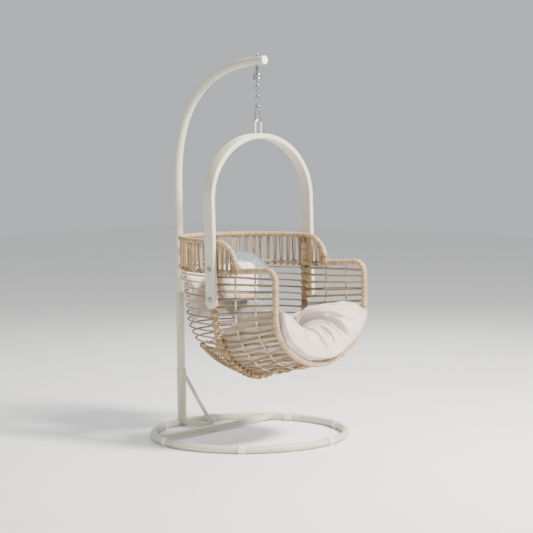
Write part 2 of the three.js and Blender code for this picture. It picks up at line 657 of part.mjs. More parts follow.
// ---------------------------------------------------------------- cushions
// The seat cushion lies in the trough, runs out over the front hoop and rises at both sides.
function seatCushionBase(s, t) {
  const f = lerp(SEAT_REACH.rear, SEAT_REACH.front, t);
  const behind = Math.min(f, 0) ** 2;
  const side = lerp(0.27, 0.15, Math.min(t * 1.6, 1));
  const top = lerp(ARM_Z.back, ARM_Z.front, 0.5) - RIM_R - EDGE;
  const p = troughPoint(THREE.MathUtils.clamp(f, 0, 1), lerp(side, 1 - side, s), top, -23);
  const y = lerp(REAR_HOOP.y, FRONT_HOOP.y, f);
  return v(p.x * (1 - 0.9 * behind), y, p.z + 230 * behind);
}

// Thickness of a pad that lies on its surface: low at its edges, high in its middle.
function swell(low, high, direction, power = 0.4) {
  return (s, t, side) => {
    const crown = (Math.sin(Math.PI * s) * Math.sin(Math.PI * t)) ** power;
    return side < 0 ? 0 : direction * lerp(low, high, crown);
  };
}

// The seat cushion's thickness: a thick soft rim round a hollow where the sitter sits.
function seatSwell(s, t, side) {
  const hollow = Math.exp(-(((s - 0.5) / 0.21) ** 2) - ((t - 0.36) / 0.27) ** 2);
  return swell(20, 168, -1, 0.28)(s, t, side) * (1 - 0.82 * hollow);
}

// The pad behind the sitter follows the inside of the woven back.
function backPadBase(s, t) {
  return backPoint(lerp(0.2, 0.8, s), lerp(560, 838, t), 16);
}

function roundCushion() {
  const profile = [];
  const steps = 8;
  for (let i = 0; i <= steps; i += 1) {
    const angle = lerp(-Math.PI / 2, Math.PI / 2, i / steps);
    const out = Math.cos(angle) ** 0.75;
    profile.push([ROUND_CUSHION.radius * out, ROUND_CUSHION.half * Math.sin(angle)]);
  }
  return lathe(profile, 20).rotateX(Math.PI / 2 - ROUND_CUSHION.lean);
}

function squarePillow() {
  const geometry = new THREE.SphereGeometry(1, 16, 8);
  const place = geometry.attributes.position;
  const soften = (value, power) => Math.sign(value) * Math.abs(value) ** power;
  const { width, height, thickness } = PILLOW;
  for (let i = 0; i < place.count; i += 1) {
    const [x, y, z] = [place.getX(i), place.getY(i), place.getZ(i)];
    place.setXYZ(i, (soften(x, 0.6) * width) / 2, (y * thickness) / 2,
      (soften(z, 0.6) * height) / 2);
  }
  return geometry.rotateX(-PILLOW.lean);
}

function addCushions() {
  const place = v(0, HANG_Y, 0);
  add('seat_cushion', sheet(seatCushionBase, 14, 8, seatSwell), COTTON, place);
  add('back_pad', sheet(backPadBase, 10, 6, swell(20, 112, 1)), COTTON, place);
  const { x, y, z } = ROUND_CUSHION;
  add('round_cushion', roundCushion(), PLUSH, v(x, HANG_Y + y, z));
  add('small_pillow', squarePillow(), COTTON, v(PILLOW.x, HANG_Y + PILLOW.y, PILLOW.z));
}

addRing();
addChordAndStub();
addSocketAndBrace();
addPost();
addClips();
addEyeBolt();
addShackle();
addSwivel();
addChain();
addHook();
addHoop();
addSideBolts();
addFrontHoop();
addRearHoop();
addTopRail();
addBelt();
addStakes();
addTrough();
addBackPanels();
addCushions();

export default chair;
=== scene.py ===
import math

import bpy
import numpy as np
from mathutils import Matrix, Vector, noise


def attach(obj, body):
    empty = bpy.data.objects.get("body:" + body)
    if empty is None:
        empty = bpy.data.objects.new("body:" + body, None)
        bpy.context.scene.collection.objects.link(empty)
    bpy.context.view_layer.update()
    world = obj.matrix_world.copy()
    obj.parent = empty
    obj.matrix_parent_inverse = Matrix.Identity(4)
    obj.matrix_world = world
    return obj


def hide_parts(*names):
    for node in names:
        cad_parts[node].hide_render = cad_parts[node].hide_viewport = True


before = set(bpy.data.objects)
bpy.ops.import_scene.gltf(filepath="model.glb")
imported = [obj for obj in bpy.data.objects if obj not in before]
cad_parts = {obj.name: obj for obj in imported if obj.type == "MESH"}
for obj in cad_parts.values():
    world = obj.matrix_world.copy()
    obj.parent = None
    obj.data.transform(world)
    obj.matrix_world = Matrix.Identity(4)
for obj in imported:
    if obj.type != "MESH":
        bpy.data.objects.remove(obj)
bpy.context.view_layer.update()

# ------------------------------------------------------------------ dimensions, in metres
RING_Y = 0.0078  # the ring's centre in the frame
HANG_Y = -0.0682  # the vertical line that the chair hangs on
TWIST = math.radians(-48)  # plane of the flat links and the hook

RING_R, RING_TUBE, RING_Z = 0.483, 0.017, 0.020
RING_SPLIT = math.radians(83)
CHORD_Y, CHORD_TUBE, BRACE_TUBE = 0.228, 0.015, 0.010
CLIP_ANGLES = [-116, -73.5, -22.5, 19.5, 75, 128, 185.5]
POST_FOOT_Y, POST_LEAN = 0.478, math.radians(0.25)
SOCKET_TOP, SOCKET_R, POST_R = 0.303, 0.024, 0.021
POST_JOINT, ARCH_START, ARCH_FULLNESS = 0.700, 1.270, 0.66
ARCH_TIP = (-0.124, 1.879)
TUBE_WALL = 0.0015

EYE_Z, SWIVEL_Z, STEM_EYE_Z = 1.831, 1.780, 1.7531
LINK_WIRE, LINK_HALF, LINK_BOW = 0.003, 0.016, 0.0075
HOOK_TOP_Z, HOOK_BOTTOM_Z, HOOK_BOW_R = 1.6512, 1.5726, 0.014
LOOP_TOP_Z = 1.5856
HOOP_HALF_WIDTH, HOOP_TOP_Z, HOOP_SPRING_Z, HOOP_FOOT_Z = 0.363, 1.507, 1.200, 0.680
HOOP_DEPTH, HOOP_THICKNESS = 0.060, 0.025
HOOP_LEAN = math.radians(1.15)  # how far the hoop's legs come forward as they go down
BOLT_Z = [0.871, 0.725]

HALF_WIDTH = 0.333
TOP_RAIL_Z, BELT_Z, ARM_BACK_Z, ARM_FRONT_Z = 1.000, 0.858, 0.864, 0.877
RAIL_R, RIM_R, BELT_R, STAKE_R = 0.013, 0.015, 0.008, 0.005
BACK_DEPTH = 0.437
FRONT_Y, FRONT_SPRING, FRONT_BOTTOM = -0.401, 0.660, 0.405
REAR_Y, REAR_SPRING, REAR_BOTTOM = -0.010, 0.658, 0.315
ARM_END_Y, TOP_RAIL_BEND, ARM_BEND = -0.150, 0.124, 0.052
BOWL_POWER, BACK_POWER = 0.56, 0.54

ROW_PITCH = 0.0338  # between woven rows, measured along the rear hoop
WRAP_PITCH = 0.0056
PAIR_SPLIT = 0.0029077  # between a rung's two strands, as a fraction across the trough
BACK_ROWS = [0.832 - 0.0335 * k for k in range(12)]  # heights of the back's woven rows
COMB_PLACES = np.linspace(0.024, 0.312, 13)  # how far behind the hang line each comb strand runs
STRUT_PITCH = 0.037
STAKE_PLACES = [0.36, 0.69]  # fractions of the way from the rear hoop to the front hoop

rng = np.random.default_rng(7)
UP = np.array([0.0, 0.0, 1.0])
RIGHT = np.array([1.0, 0.0, 0.0])
BACK = np.array([0.0, 1.0, 0.0])
FLAT_DIR = np.array([math.cos(TWIST), math.sin(TWIST), 0.0])
EDGE_DIR = np.array([-math.sin(TWIST), math.cos(TWIST), 0.0])


def at_ring(x, y, z):
    return np.array([x, y + RING_Y, z])


def at_hang(x, y, z):
    return np.array([x, y + HANG_Y, z])


def lerp(a, b, t):
    return a + (b - a) * t


def clamp(value, low=0.0, high=1.0):
    return min(max(value, low), high)


# ------------------------------------------------------------------ curves
def lengths(points):
    steps = np.linalg.norm(np.diff(points, axis=0), axis=1)
    return np.concatenate([[0], np.cumsum(steps)])


def resample(points, spacing=None, count=None):
    """The same curve with evenly spaced points."""
    points = np.asarray(points, float)
    along = lengths(points)
    count = count or max(int(round(along[-1] / spacing)), 2) + 1
    wanted = np.linspace(0, along[-1], count)
    return np.stack([np.interp(wanted, along, points[:, k]) for k in range(3)], axis=1)


def soften(points, rounds=2):
    """Takes the corners off a polyline and keeps its ends."""
    points = np.asarray(points, float).copy()
    for _ in range(rounds):
        points[1:-1] = 0.25 * points[:-2] + 0.5 * points[1:-1] + 0.25 * points[2:]
    return points


def turn(centre, toward, then, radius, start, end, count):
    angles = np.linspace(start, end, count)[:, None]
    return centre + radius * (np.cos(angles) * toward + np.sin(angles) * then)


def circle(across, other, angles):
    """Unit directions at the angles, as turned from across to other."""
    angles = np.asarray(angles)[:, None]
    return np.cos(angles) * across + np.sin(angles) * other


def full_turn(sides):
    return np.arange(sides) / sides * 2 * math.pi


def circles(across, other, sides):
    """A circle of directions round each station of a curve."""
    angles = full_turn(sides)[None, :, None]
    return np.cos(angles) * across[:, None, :] + np.sin(angles) * other[:, None, :]


def square_to(axis):
    """Two directions square to an axis and to each other, for each way round it."""
    return [pair[0] for pair in frames(np.array([0 * axis, axis, 2 * axis]))[1:]]


def mirrored(points):
    return (points * np.array([-1, 1, 1]))[::-1]


def frames(points, closed=False):
    """Tangents, and two crosswise directions that don't spin along the curve."""
    if closed:
        tangents = np.roll(points, -1, 0) - np.roll(points, 1, 0)
    else:
        tangents = np.gradient(points, axis=0)
    tangents /= np.linalg.norm(tangents, axis=1)[:, None]
    start = np.eye(3)[np.argmin(np.abs(tangents[0]))]
    normal = np.cross(tangents[0], start)
    normals = []
    for tangent in tangents:
        normal = normal - tangent * normal.dot(tangent)
        normal /= np.linalg.norm(normal)
        normals.append(normal)
    normals = np.array(normals)
    return tangents, normals, np.cross(tangents, normals)


# ------------------------------------------------------------------ mesh building
class Build:
    """Gathers tubes, lathed forms and sheets, and makes one mesh of them."""

    def __init__(self):
        self.verts, self.faces, self.grain, self.tone, self.count = [], [], [], [], 0

    def add(self, verts, faces, grain=None, tone=0.5):
        verts = np.asarray(verts, float).reshape(-1, 3)
        self.faces.extend([[i + self.count for i in face] for face in faces])
        self.verts.append(verts)
        self.grain.append(verts if grain is None else np.asarray(grain).reshape(-1, 3))
        tones = np.broadcast_to(np.asarray(tone, float).reshape(-1), (len(verts),))
        self.tone.append(tones)
        self.count += len(verts)
        return self

    def grid(self, points, grain=None, tone=0.5, closed=False, caps=False, wrap=True):
        """A grid of points, rows by columns; the columns close on themselves if wrap."""
        rows, columns = points.shape[:2]
        faces = []
        for i in range(rows if closed else rows - 1):
            a, b = i * columns, ((i + 1) % rows) * columns
            for j in range(columns if wrap else columns - 1):
                k = (j + 1) % columns
                faces.append((a + j, b + j, b + k, a + k))
        if caps and not closed:
            faces.append(tuple(range(columns)))
            faces.append(tuple(range(rows * columns - 1, (rows - 1) * columns - 1, -1)))
        return self.add(points, faces, grain, tone)

    def tube(self, points, radius, sides=8, closed=False, tone=0.5):
        """radius is one number, one per station, or one per station and side."""
        points = np.asarray(points, float)
        _, across, other = frames(points, closed)
        angles = full_turn(sides)
        radius = np.asarray(radius, float)
        if radius.ndim < 2:
            radius = np.broadcast_to(radius.reshape(-1, 1), (len(points), sides))
        out = circles(across, other, sides)
        along = np.broadcast_to(lengths(points)[:, None], radius.shape)
        shift = 10 * float(np.mean(tone))
        grain = np.stack([along + shift, radius * np.cos(angles), radius * np.sin(angles)], -1)
        if np.ndim(tone):
            tone = np.broadcast_to(np.asarray(tone).reshape(len(points), -1), radius.shape)
        return self.grid(points[:, None] + radius[:, :, None] * out, grain, tone, closed, caps=True)

    def pipe(self, points, radius, wall=TUBE_WALL, sides=28):
        """A hollow tube with a rounded lip at each open end."""
        points = np.asarray(points, float)
        tangents, across, other = frames(points)
        ring = circles(across, other, sides)
        lip, seen = 0.0004, 0.03
        rim = [(radius - wall, seen), (radius - wall, 0), (radius - lip, 0), (radius, lip)]
        shell = [points[0] + r * ring[0] + depth * tangents[0] for r, depth in rim]
        shell.extend(points[1:-1, None] + radius * ring[1:-1])
        shell.extend(points[-1] + r * ring[-1] - depth * tangents[-1] for r, depth in rim[::-1])
        return self.grid(np.array(shell))

    def lathe(self, profile, centre, axis=UP, sides=32):
        """A profile of (radius, height) turned about an axis through centre."""
        axis = np.asarray(axis, float) / np.linalg.norm(axis)
        start = np.eye(3)[np.argmin(np.abs(axis))]
        across = np.cross(axis, start)
        across /= np.linalg.norm(across)
        ring = circle(across, np.cross(axis, across), full_turn(sides))
        return self.grid(np.array([centre + r * ring + h * axis for r, h in profile]), caps=True)

    def make(self, name, body, material, *replaces):
        """One piece of all that was gathered; the CAD nodes that it replaces come last."""
        mesh = bpy.data.meshes.new(name)
        verts = np.concatenate(self.verts)
        mesh.from_pydata(verts.tolist(), [], self.faces)
        grain = mesh.attributes.new("grain", "FLOAT_VECTOR", "POINT")
        grain.data.foreach_set("vector", np.concatenate(self.grain).ravel())
        tone = mesh.attributes.new("tone", "FLOAT", "POINT")
        tone.data.foreach_set("value", np.concatenate(self.tone))
        mesh.shade_smooth()
        mesh.update()
        piece = bpy.data.objects.new(name, mesh)
        bpy.context.scene.collection.objects.link(piece)
        mesh.materials.append(material)
        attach(piece, body)
        if replaces:
            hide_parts(*replaces)
        return piece


def sharpen(piece, degrees=35):
    """Keeps edges sharper than this angle crisp."""
    piece.data.set_sharp_from_angle(angle=math.radians(degrees))


def dress(node, material):
    """Gives a CAD node that is kept a finished material."""
    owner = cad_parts[node]
    owner.data.materials.clear()
    owner.data.materials.append(material)


# ------------------------------------------------------------------ materials
class Shader:
    """A principled material and a short way to add nodes to it."""

    def __init__(self, name):
        self.material = bpy.data.materials.new(name)
        self.material.use_nodes = True
        self.tree = self.material.node_tree
        self.surface = self.tree.nodes["Principled BSDF"]

    def set(self, **values):
        for key, value in values.items():
            self.surface.inputs[key.replace("_", " ").title().replace("Ior", "IOR")].default_value = value
        return self

    def node(self, kind, settings=None, **inputs):
        made = self.tree.nodes.new(kind)
        for key, value in (settings or {}).items():
            setattr(made, key, value)
        for key, value in inputs.items():
            socket = made.inputs[int(key[1:])] if key[0] == "i" and key[1:].isdigit() else made.inputs[key]
            if isinstance(value, bpy.types.NodeSocket):
                self.tree.links.new(value, socket)
            else:
                socket.default_value = value
        return made

    def link(self, value, target):
        self.tree.links.new(value, self.surface.inputs[target])

    def ramp(self, value, stops):
        made = self.node("ShaderNodeValToRGB", Fac=value)
        while len(made.color_ramp.elements) < len(stops):
            made.color_ramp.elements.new(0.5)
        for element, (place, color) in zip(made.color_ramp.elements, stops):
            element.position = place
            element.color = (*color, 1)
        return made.outputs["Color"]

    def attribute(self, name, output):
        return self.node("ShaderNodeAttribute", {"attribute_name": name}).outputs[output]

    def scaled(self, vector, scale):
        made = self.node("ShaderNodeVectorMath", {"operation": "MULTIPLY"}, i0=vector, i1=scale)
        return made.outputs["Vector"]

    def noise(self, vector, scale, detail=3.0, rough=0.55):
        made = self.node("ShaderNodeTexNoise", Vector=vector, Scale=scale, Detail=detail,
                         Roughness=rough)
        return made.outputs["Fac"]

    def place(self):
        return self.node("ShaderNodeTexCoord").outputs["Object"]

    def two_tone(self, value, low, darker, high, color):
        self.link(self.ramp(value, [(low, darker), (high, color)]), "Base Color")

    def wave(self, vector, direction, scale, distortion):
        made = self.node("ShaderNodeTexWave", {"bands_direction": direction}, Vector=vector,
                         Scale=scale, Distortion=distortion)
        return made.outputs["Fac"]

    def math(self, operation, first, second=0.0, third=0.0):
        made = self.node("ShaderNodeMath", {"operation": operation}, i0=first, i1=second, i2=third)
        return made.outputs[0]

    def bump(self, height, distance, strength=1.0, below=None):
        made = self.node("ShaderNodeBump", Height=height, Distance=distance, Strength=strength)
        if below is not None:
            self.tree.links.new(below, made.inputs["Normal"])
        return made.outputs["Normal"]


def rattan_material(name, light, middle, dark):
    """Synthetic cane: fine lengthwise fibres, and each strand a little different."""
    shader = Shader(name)
    fibres = shader.scaled(shader.attribute("grain", "Vector"), (26, 1500, 1500))
    streak = shader.noise(fibres, 1.0, 4.0, 0.6)
    blotch = shader.noise(shader.place(), 14.0, 3.0)
    tone = shader.attribute("tone", "Fac")
    mixed = shader.math("MULTIPLY_ADD", tone, 0.55, shader.math("MULTIPLY_ADD", streak, 0.7, -0.17))
    mixed = shader.math("MULTIPLY_ADD", blotch, 0.5, shader.math("SUBTRACT", mixed, 0.22))
    colour = shader.ramp(mixed, [(0.12, dark), (0.48, middle), (0.85, light)])
    shader.link(colour, "Base Color")
    shader.link(shader.math("MULTIPLY_ADD", streak, 0.25, 0.42), "Roughness")
    shader.link(shader.bump(streak, 0.0006, 0.7), "Normal")
    return shader.set(specular_ior_level=0.45).material


def paint_material(name, color, darker):
    """Satin powder coat: a fine orange peel, a little dust and unevenness."""
    shader = Shader(name)
    place = shader.place()
    dust = shader.noise(place, 7.0, 4.0)
    shader.two_tone(dust, 0.25, darker, 0.7, color)
    peel = shader.noise(place, 420.0, 2.0)
    shader.link(shader.math("MULTIPLY_ADD", dust, 0.16, 0.34), "Roughness")
    shader.link(shader.bump(peel, 0.0001, 0.12), "Normal")
    return shader.set(specular_ior_level=0.5).material


def chrome_material(name, color, roughness):
    """Zinc plate or plain steel: hazy, with fine pitting."""
    shader = Shader(name)
    place = shader.place()
    haze = shader.noise(place, 60.0, 4.0)
    shader.two_tone(haze, 0.3, [0.8 * c for c in color], 0.7, color)
    shader.link(shader.math("MULTIPLY_ADD", haze, 0.22, roughness - 0.1), "Roughness")
    shader.link(shader.bump(shader.noise(place, 700.0), 0.0001, 0.3), "Normal")
    return shader.set(metallic=1.0).material


def plastic_material(name, color):
    """Moulded plastic, slightly grained."""
    shader = Shader(name)
    place = shader.place()
    cloud = shader.noise(place, 20.0)
    shader.two_tone(cloud, 0.3, [0.9 * c for c in color], 0.7, color)
    shader.link(shader.bump(shader.noise(place, 500.0), 0.0002, 0.3), "Normal")
    return shader.set(roughness=0.45).material


def cotton_material(name, color, darker):
    """Plain woven cotton: crossing threads, slubs, soft creasing and faint shade changes."""
    shader = Shader(name)
    place = shader.place()
    cloud = shader.noise(place, 9.0, 4.0)
    slub = shader.noise(shader.scaled(place, (900, 160, 160)), 1.0, 2.0)
    shade = shader.math("MULTIPLY_ADD", slub, 0.35, shader.math("MULTIPLY", cloud, 0.65))
    shader.two_tone(shade, 0.3, darker, 0.65, color)
    warp, weft = [shader.wave(place, way, 260.0, 1.2) for way in "XZ"]
    threads = shader.math("MAXIMUM", warp, weft)
    wrinkle = shader.noise(place, 28.0, 5.0, 0.6)
    soft = shader.bump(wrinkle, 0.012, 0.35)
    shader.link(shader.bump(threads, 0.0004, 0.35, soft), "Normal")
    return shader.set(roughness=0.92, sheen_weight=0.25, sheen_roughness=0.5,
                      specular_ior_level=0.2).material


def plush_material(name, color, darker):
    """Short curly pile with a soft sheen."""
    shader = Shader(name)
    place = shader.place()
    pile = shader.noise(place, 260.0, 4.0, 0.7)
    tuft = shader.noise(place, 45.0, 4.0)
    shade = shader.math("MULTIPLY_ADD", pile, 0.5, shader.math("MULTIPLY", tuft, 0.5))
    shader.two_tone(shade, 0.3, darker, 0.62, color)
    shader.link(shader.bump(pile, 0.004, 0.8), "Normal")
    return shader.set(roughness=1.0, sheen_weight=0.6, sheen_roughness=0.4,
                      specular_ior_level=0.1).material


RATTAN = rattan_material("rattan_tan", (0.52, 0.38, 0.22), (0.34, 0.225, 0.12), (0.15, 0.095, 0.045))
RATTAN_RAIL = rattan_material("rattan_rail", (0.54, 0.40, 0.25), (0.42, 0.295, 0.17), (0.24, 0.155, 0.08))
STAKE = rattan_material("rattan_stake", (0.54, 0.48, 0.31), (0.43, 0.37, 0.22), (0.30, 0.24, 0.13))
IVORY = paint_material("ivory_paint", (0.62, 0.59, 0.47), (0.57, 0.54, 0.42))
WHITE = plastic_material("white_plastic", (0.82, 0.82, 0.80))
CHROME = chrome_material("bright_zinc", (0.34, 0.35, 0.36), 0.36)
STEEL = chrome_material("plain_steel", (0.42, 0.46, 0.54), 0.34)
GREY_ROD = paint_material("grey_rod", (0.36, 0.42, 0.43), (0.28, 0.33, 0.34))
COTTON = cotton_material("cotton_ecru", (0.69, 0.61, 0.565), (0.57, 0.495, 0.46))
PINK_COTTON = cotton_material("cotton_blush", (0.74, 0.65, 0.61), (0.62, 0.54, 0.52))
PLUSH = plush_material("plush_grey", (0.33, 0.37, 0.40), (0.22, 0.25, 0.28))


# ------------------------------------------------------------------ stand
def ring_points(start, end, count):
    angles = np.linspace(start, end, count)
    return np.stack([RING_R * np.sin(angles), RING_R * np.cos(angles) + RING_Y,
                     np.full(count, RING_Z)], axis=1)


def post_point(z):
    return at_ring(0, POST_FOOT_Y + (z - RING_Z) * math.tan(POST_LEAN), z)


def ring_gap(point):
    """How far a point is outside the ring's tube."""
    across = math.hypot(point[0], point[1] - RING_Y) - RING_R
    return math.hypot(across, point[2] - RING_Z) - RING_TUBE


def line_gap(start, direction, radius):
    def gap(point):
        along = (point - start).dot(direction)
        return np.linalg.norm(point - start - along * direction) - radius
    return gap


def weld_bead(build, start, direction, radius, gap, reach):
    """A bead where a tube that comes along direction meets another surface."""
    direction = direction / np.linalg.norm(direction)
    seam = []
    for spoke in circle(*square_to(direction), full_turn(48)):
        foot = start + radius * spoke
        far = next((d for d in np.arange(0, reach, 0.0005) if gap(foot + d * direction) < 0), None)
        if far is None:
            return
        seam.append(foot + far * direction)
    ripples = 0.0022 + 0.0005 * np.sin(np.arange(48) * 2.1) + 0.0003 * rng.standard_normal(48)
    build.tube(np.array(seam), ripples, 8, closed=True)


def stand_tube(name, node, path, radius, **form):
    Build().pipe(path, radius, **form).make(name, "stand", IVORY, node)


def straight(start, end, count):
    return resample([start, end], count=count)


def make_ring():
    slit = 0.0016 / RING_R
    for name, start, end in [("rear", -RING_SPLIT, RING_SPLIT),
                             ("front", RING_SPLIT + slit, 2 * math.pi - RING_SPLIT - slit)]:
        stand_tube(f"ring_tube_{name}", f"base_ring_{name}", ring_points(start, end, 150), RING_TUBE)
    for name in ["ring_spigot_right", "ring_spigot_left", "post_sleeve"]:
        dress(name, STEEL)


def make_cross_tubes():
    reach = math.sqrt(RING_R ** 2 - CHORD_Y ** 2) - 0.004
    left, right = at_ring(-reach, CHORD_Y, RING_Z), at_ring(reach, CHORD_Y, RING_Z)
    stand_tube("cross_tube", "base_chord", straight(left, right, 12), CHORD_TUBE)
    stub = straight(at_ring(0, CHORD_Y + 0.006, RING_Z), at_ring(0, 0.474, RING_Z), 6)
    stand_tube("stub_tube", "base_stub", stub, CHORD_TUBE)
    foot, head = at_ring(0, CHORD_Y + 0.036, RING_Z + 0.008), at_ring(0, POST_FOOT_Y - 0.014, 0.28)
    stand_tube("brace_tube", "post_brace", straight(foot, head, 12), BRACE_TUBE)
    welds = Build()
    for side in [-1, 1]:
        weld_bead(welds, at_ring(side * 0.3, CHORD_Y, RING_Z), side * RIGHT, CHORD_TUBE, ring_gap, 0.2)
    weld_bead(welds, at_ring(0, 0.35, RING_Z), BACK, CHORD_TUBE, ring_gap, 0.2)
    weld_bead(welds, at_ring(0, 0.35, RING_Z), -BACK, CHORD_TUBE,
              line_gap(left, RIGHT, CHORD_TUBE), 0.2)
    slope = head - foot
    post_up = post_point(1.0) - post_point(0.0)
    middle = (foot + head) / 2
    stub_gap = line_gap(at_ring(0, 0, RING_Z), BACK, CHORD_TUBE)
    post_gap = line_gap(post_point(0.1), post_up / np.linalg.norm(post_up), SOCKET_R)
    weld_bead(welds, middle, -slope, BRACE_TUBE, stub_gap, 0.25)
    weld_bead(welds, middle, slope, BRACE_TUBE, post_gap, 0.25)
    weld_bead(welds, post_point(0.15), -UP, SOCKET_R, ring_gap_wide, 0.2)
    welds.make("weld_beads", "stand", IVORY)


def ring_gap_wide(point):
    """The socket is wider than the ring's tube, so its foot ends level beside the tube."""
    return min(ring_gap(point), point[2] - 0.0235)


def arch_points(count):
    start = post_point(ARCH_START)
    rise, run = ARCH_TIP[1] - ARCH_START, start[1] - RING_Y - ARCH_TIP[0]
    handles = [start, start + ARCH_FULLNESS * rise * np.array([0, math.tan(POST_LEAN), 1]),
               at_ring(0, ARCH_TIP[0] + ARCH_FULLNESS * run, ARCH_TIP[1] - 0.004),
               at_ring(0, *ARCH_TIP)]
    t = np.linspace(0, 1, count)[:, None]
    a, b, c, d = handles
    return (1 - t) ** 3 * a + 3 * (1 - t) ** 2 * t * b + 3 * (1 - t) * t ** 2 * c + t ** 3 * d


def make_post():
    socket = straight(post_point(0.022), post_point(SOCKET_TOP), 8)
    stand_tube("socket_tube", "post_socket", socket, SOCKET_R, wall=0.0025, sides=36)
    pole = straight(post_point(0.2), post_point(POST_JOINT), 10)
    stand_tube("lower_post", "post_pole", pole, POST_R, sides=36)
    upper = straight(post_point(POST_JOINT + 0.0004), post_point(ARCH_START - 0.02), 8)
    path = np.concatenate([upper, resample(arch_points(200), count=90)])
    stand_tube("swan_neck", "post_arch", path, POST_R, sides=36)
    outward = path[-1] - path[-2]
    cap = [(0.0001, 0.0062), (0.012, 0.006), (0.0185, 0.0050), (0.0212, 0.0030), (0.022, 0.0012),
           (0.0215, 0.0003), (0.0172, 0.0003), (0.0170, -0.012), (0.0001, -0.014)]
    sharpen(Build().lathe(cap, path[-1], outward, 48).make("end_cap", "stand", WHITE, "arch_end_cap"), 50)


def make_clips():
    """Snap-on feet: a waist between two collars, cut flat on the floor, with a split on top."""
    bore, rim, waist = 0.0182, 0.0224, 0.0204
    profile = [(bore, -0.018), (rim - 0.001, -0.018), (rim, -0.017), (rim, -0.0135),
               (waist, -0.012), (waist, -0.004), (waist + 0.0008, -0.003), (waist + 0.0008, 0.003),
               (waist, 0.004), (waist, 0.012), (rim, 0.0135), (rim, 0.017), (rim - 0.001, 0.018),
               (bore, 0.018)]
    for i, degrees in enumerate(CLIP_ANGLES):
        angle = math.radians(degrees)
        centre = at_ring(-RING_R * math.sin(angle), RING_R * math.cos(angle), RING_Z)
        along = np.array([math.cos(angle), math.sin(angle), 0])
        out = np.array([-math.sin(angle), math.cos(angle), 0])
        ring = circle(out, UP, np.radians(np.linspace(98, 442, 60)))
        rows = np.array([centre + r * ring + h * along for r, h in profile + profile[:1]])
        rows[:, :, 2] = np.maximum(rows[:, :, 2], 0)
        build = Build().grid(rows, wrap=False)
        face = [tuple(range(len(profile)))]
        build.add(rows[:-1, 0], face).add(rows[-2::-1, -1], face)
        sharpen(build.make(f"clip_foot_{i + 1}", "stand", WHITE, f"foot_clip_{i + 1}"), 40)


# ------------------------------------------------------------------ suspension
def hexagon(profile_radius, low, high, chamfer=0.0008):
    return [(profile_radius - chamfer, low), (profile_radius, low + chamfer),
            (profile_radius, high - chamfer), (profile_radius - chamfer, high)]


def eye_ring(centre, toward, radius, wire, sides):
    """A closed round eye of wire, standing upright."""
    return Build().tube(turn(centre, toward, UP, radius, 0, 2 * math.pi * 47 / 48, 48), wire, sides,
                        closed=True)


def make_eye_bolt():
    top = at_hang(0, 0, EYE_Z + 0.010)
    build = eye_ring(top, RIGHT, 0.010, 0.004, 16)
    build.lathe([(0.0001, 0.009), (0.0052, 0.009), (0.0042, 0.014), (0.004, 0.02), (0.004, 0.071),
                 (0.0001, 0.0715)], top, UP, 24)
    build.make("eye", "stand", CHROME, "eye_bolt")
    build = Build()
    build.lathe([(0.0045, 0), (0.0105, 0), (0.011, 0.0005), (0.011, 0.0013), (0.0105, 0.0018),
                 (0.0045, 0.0018)], at_hang(0, 0, 1.900), UP, 40)
    sharpen(build.make("eye_bolt_washer", "stand", CHROME, "eye_washer"))
    build = Build()
    nut = at_hang(0, 0, 1.9022)
    build.lathe([(0.005, 0.0)] + hexagon(0.009, 0, 0.006) + [(0.006, 0.0064)], nut, UP, 6)
    build.lathe([(0.0068, 0.0058), (0.0066, 0.0085), (0.005, 0.0108), (0.003, 0.0121),
                 (0.0001, 0.0126)], nut, UP, 24)
    sharpen(build.make("domed_nut", "stand", STEEL, "eye_nut"))


def make_swivel():
    reach = 0.0079
    bow = turn(at_hang(0, 0, EYE_Z), BACK, UP, reach, 0, math.pi, 20)
    path = np.concatenate([[at_hang(0, reach, SWIVEL_Z + 0.034)], bow,
                           [at_hang(0, -reach, SWIVEL_Z + 0.034)]])
    build = Build()
    build.tube(resample(path, spacing=0.0015), 0.0035, 14)
    build.lathe([(0.0001, 0.0334), (0.013, 0.0334), (0.014, 0.0342), (0.014, 0.0358),
                 (0.013, 0.0364), (0.0001, 0.0366)], at_hang(0, 0, SWIVEL_Z), UP, 40)
    build.make("shackle", "swivel_top", CHROME, "swivel_shackle")
    build = Build()
    build.lathe([(0.007, 0.0), (0.0175, 0.0), (0.0195, 0.0012), (0.0205, 0.0035), (0.0205, 0.0125),
                 (0.0198, 0.0135), (0.0198, 0.0155), (0.0205, 0.0165), (0.0205, 0.0295),
                 (0.0195, 0.0318), (0.0175, 0.033), (0.0001, 0.033)], at_hang(0, 0, SWIVEL_Z), UP, 48)
    sharpen(build.make("swivel_drum", "swivel_top", CHROME, "swivel_housing"), 40)
    dress("swivel_bearing", STEEL)


def make_stem_eye():
    radius = 0.0085
    build = eye_ring(at_hang(0, 0, STEM_EYE_Z + radius), EDGE_DIR, radius, 0.0035, 14)
    build.lathe([(0.0001, -0.014), (0.0045, -0.014), (0.0055, -0.008), (0.0055, 0.0112),
                 (0.0125, 0.0112), (0.0125, 0.0165), (0.0001, 0.0168)], at_hang(0, 0, SWIVEL_Z), UP, 32)
    build.make("stem_eye", "swivel_bottom", CHROME, "swivel_eye")


def stadium(centre, along, radius, stretch, count=14):
    top = turn(centre + stretch * UP, along, UP, radius, 0, math.pi, count)
    bottom = turn(centre - stretch * UP, along, UP, radius, math.pi, 2 * math.pi, count)
    return np.concatenate([top, bottom])


def make_chain():
    first_top = STEM_EYE_Z + 0.0069
    for i in range(4):
        centre = at_hang(0, 0, first_top - LINK_HALF - i * 0.0256)
        along = EDGE_DIR if i % 2 else FLAT_DIR
        path = stadium(centre, along, LINK_BOW, LINK_HALF - LINK_BOW)
        build = Build().tube(path, LINK_WIRE, 14, closed=True)
        build.make(f"link_{i + 1}", f"link_{i + 1}", CHROME, f"chain_link_{i + 1}")


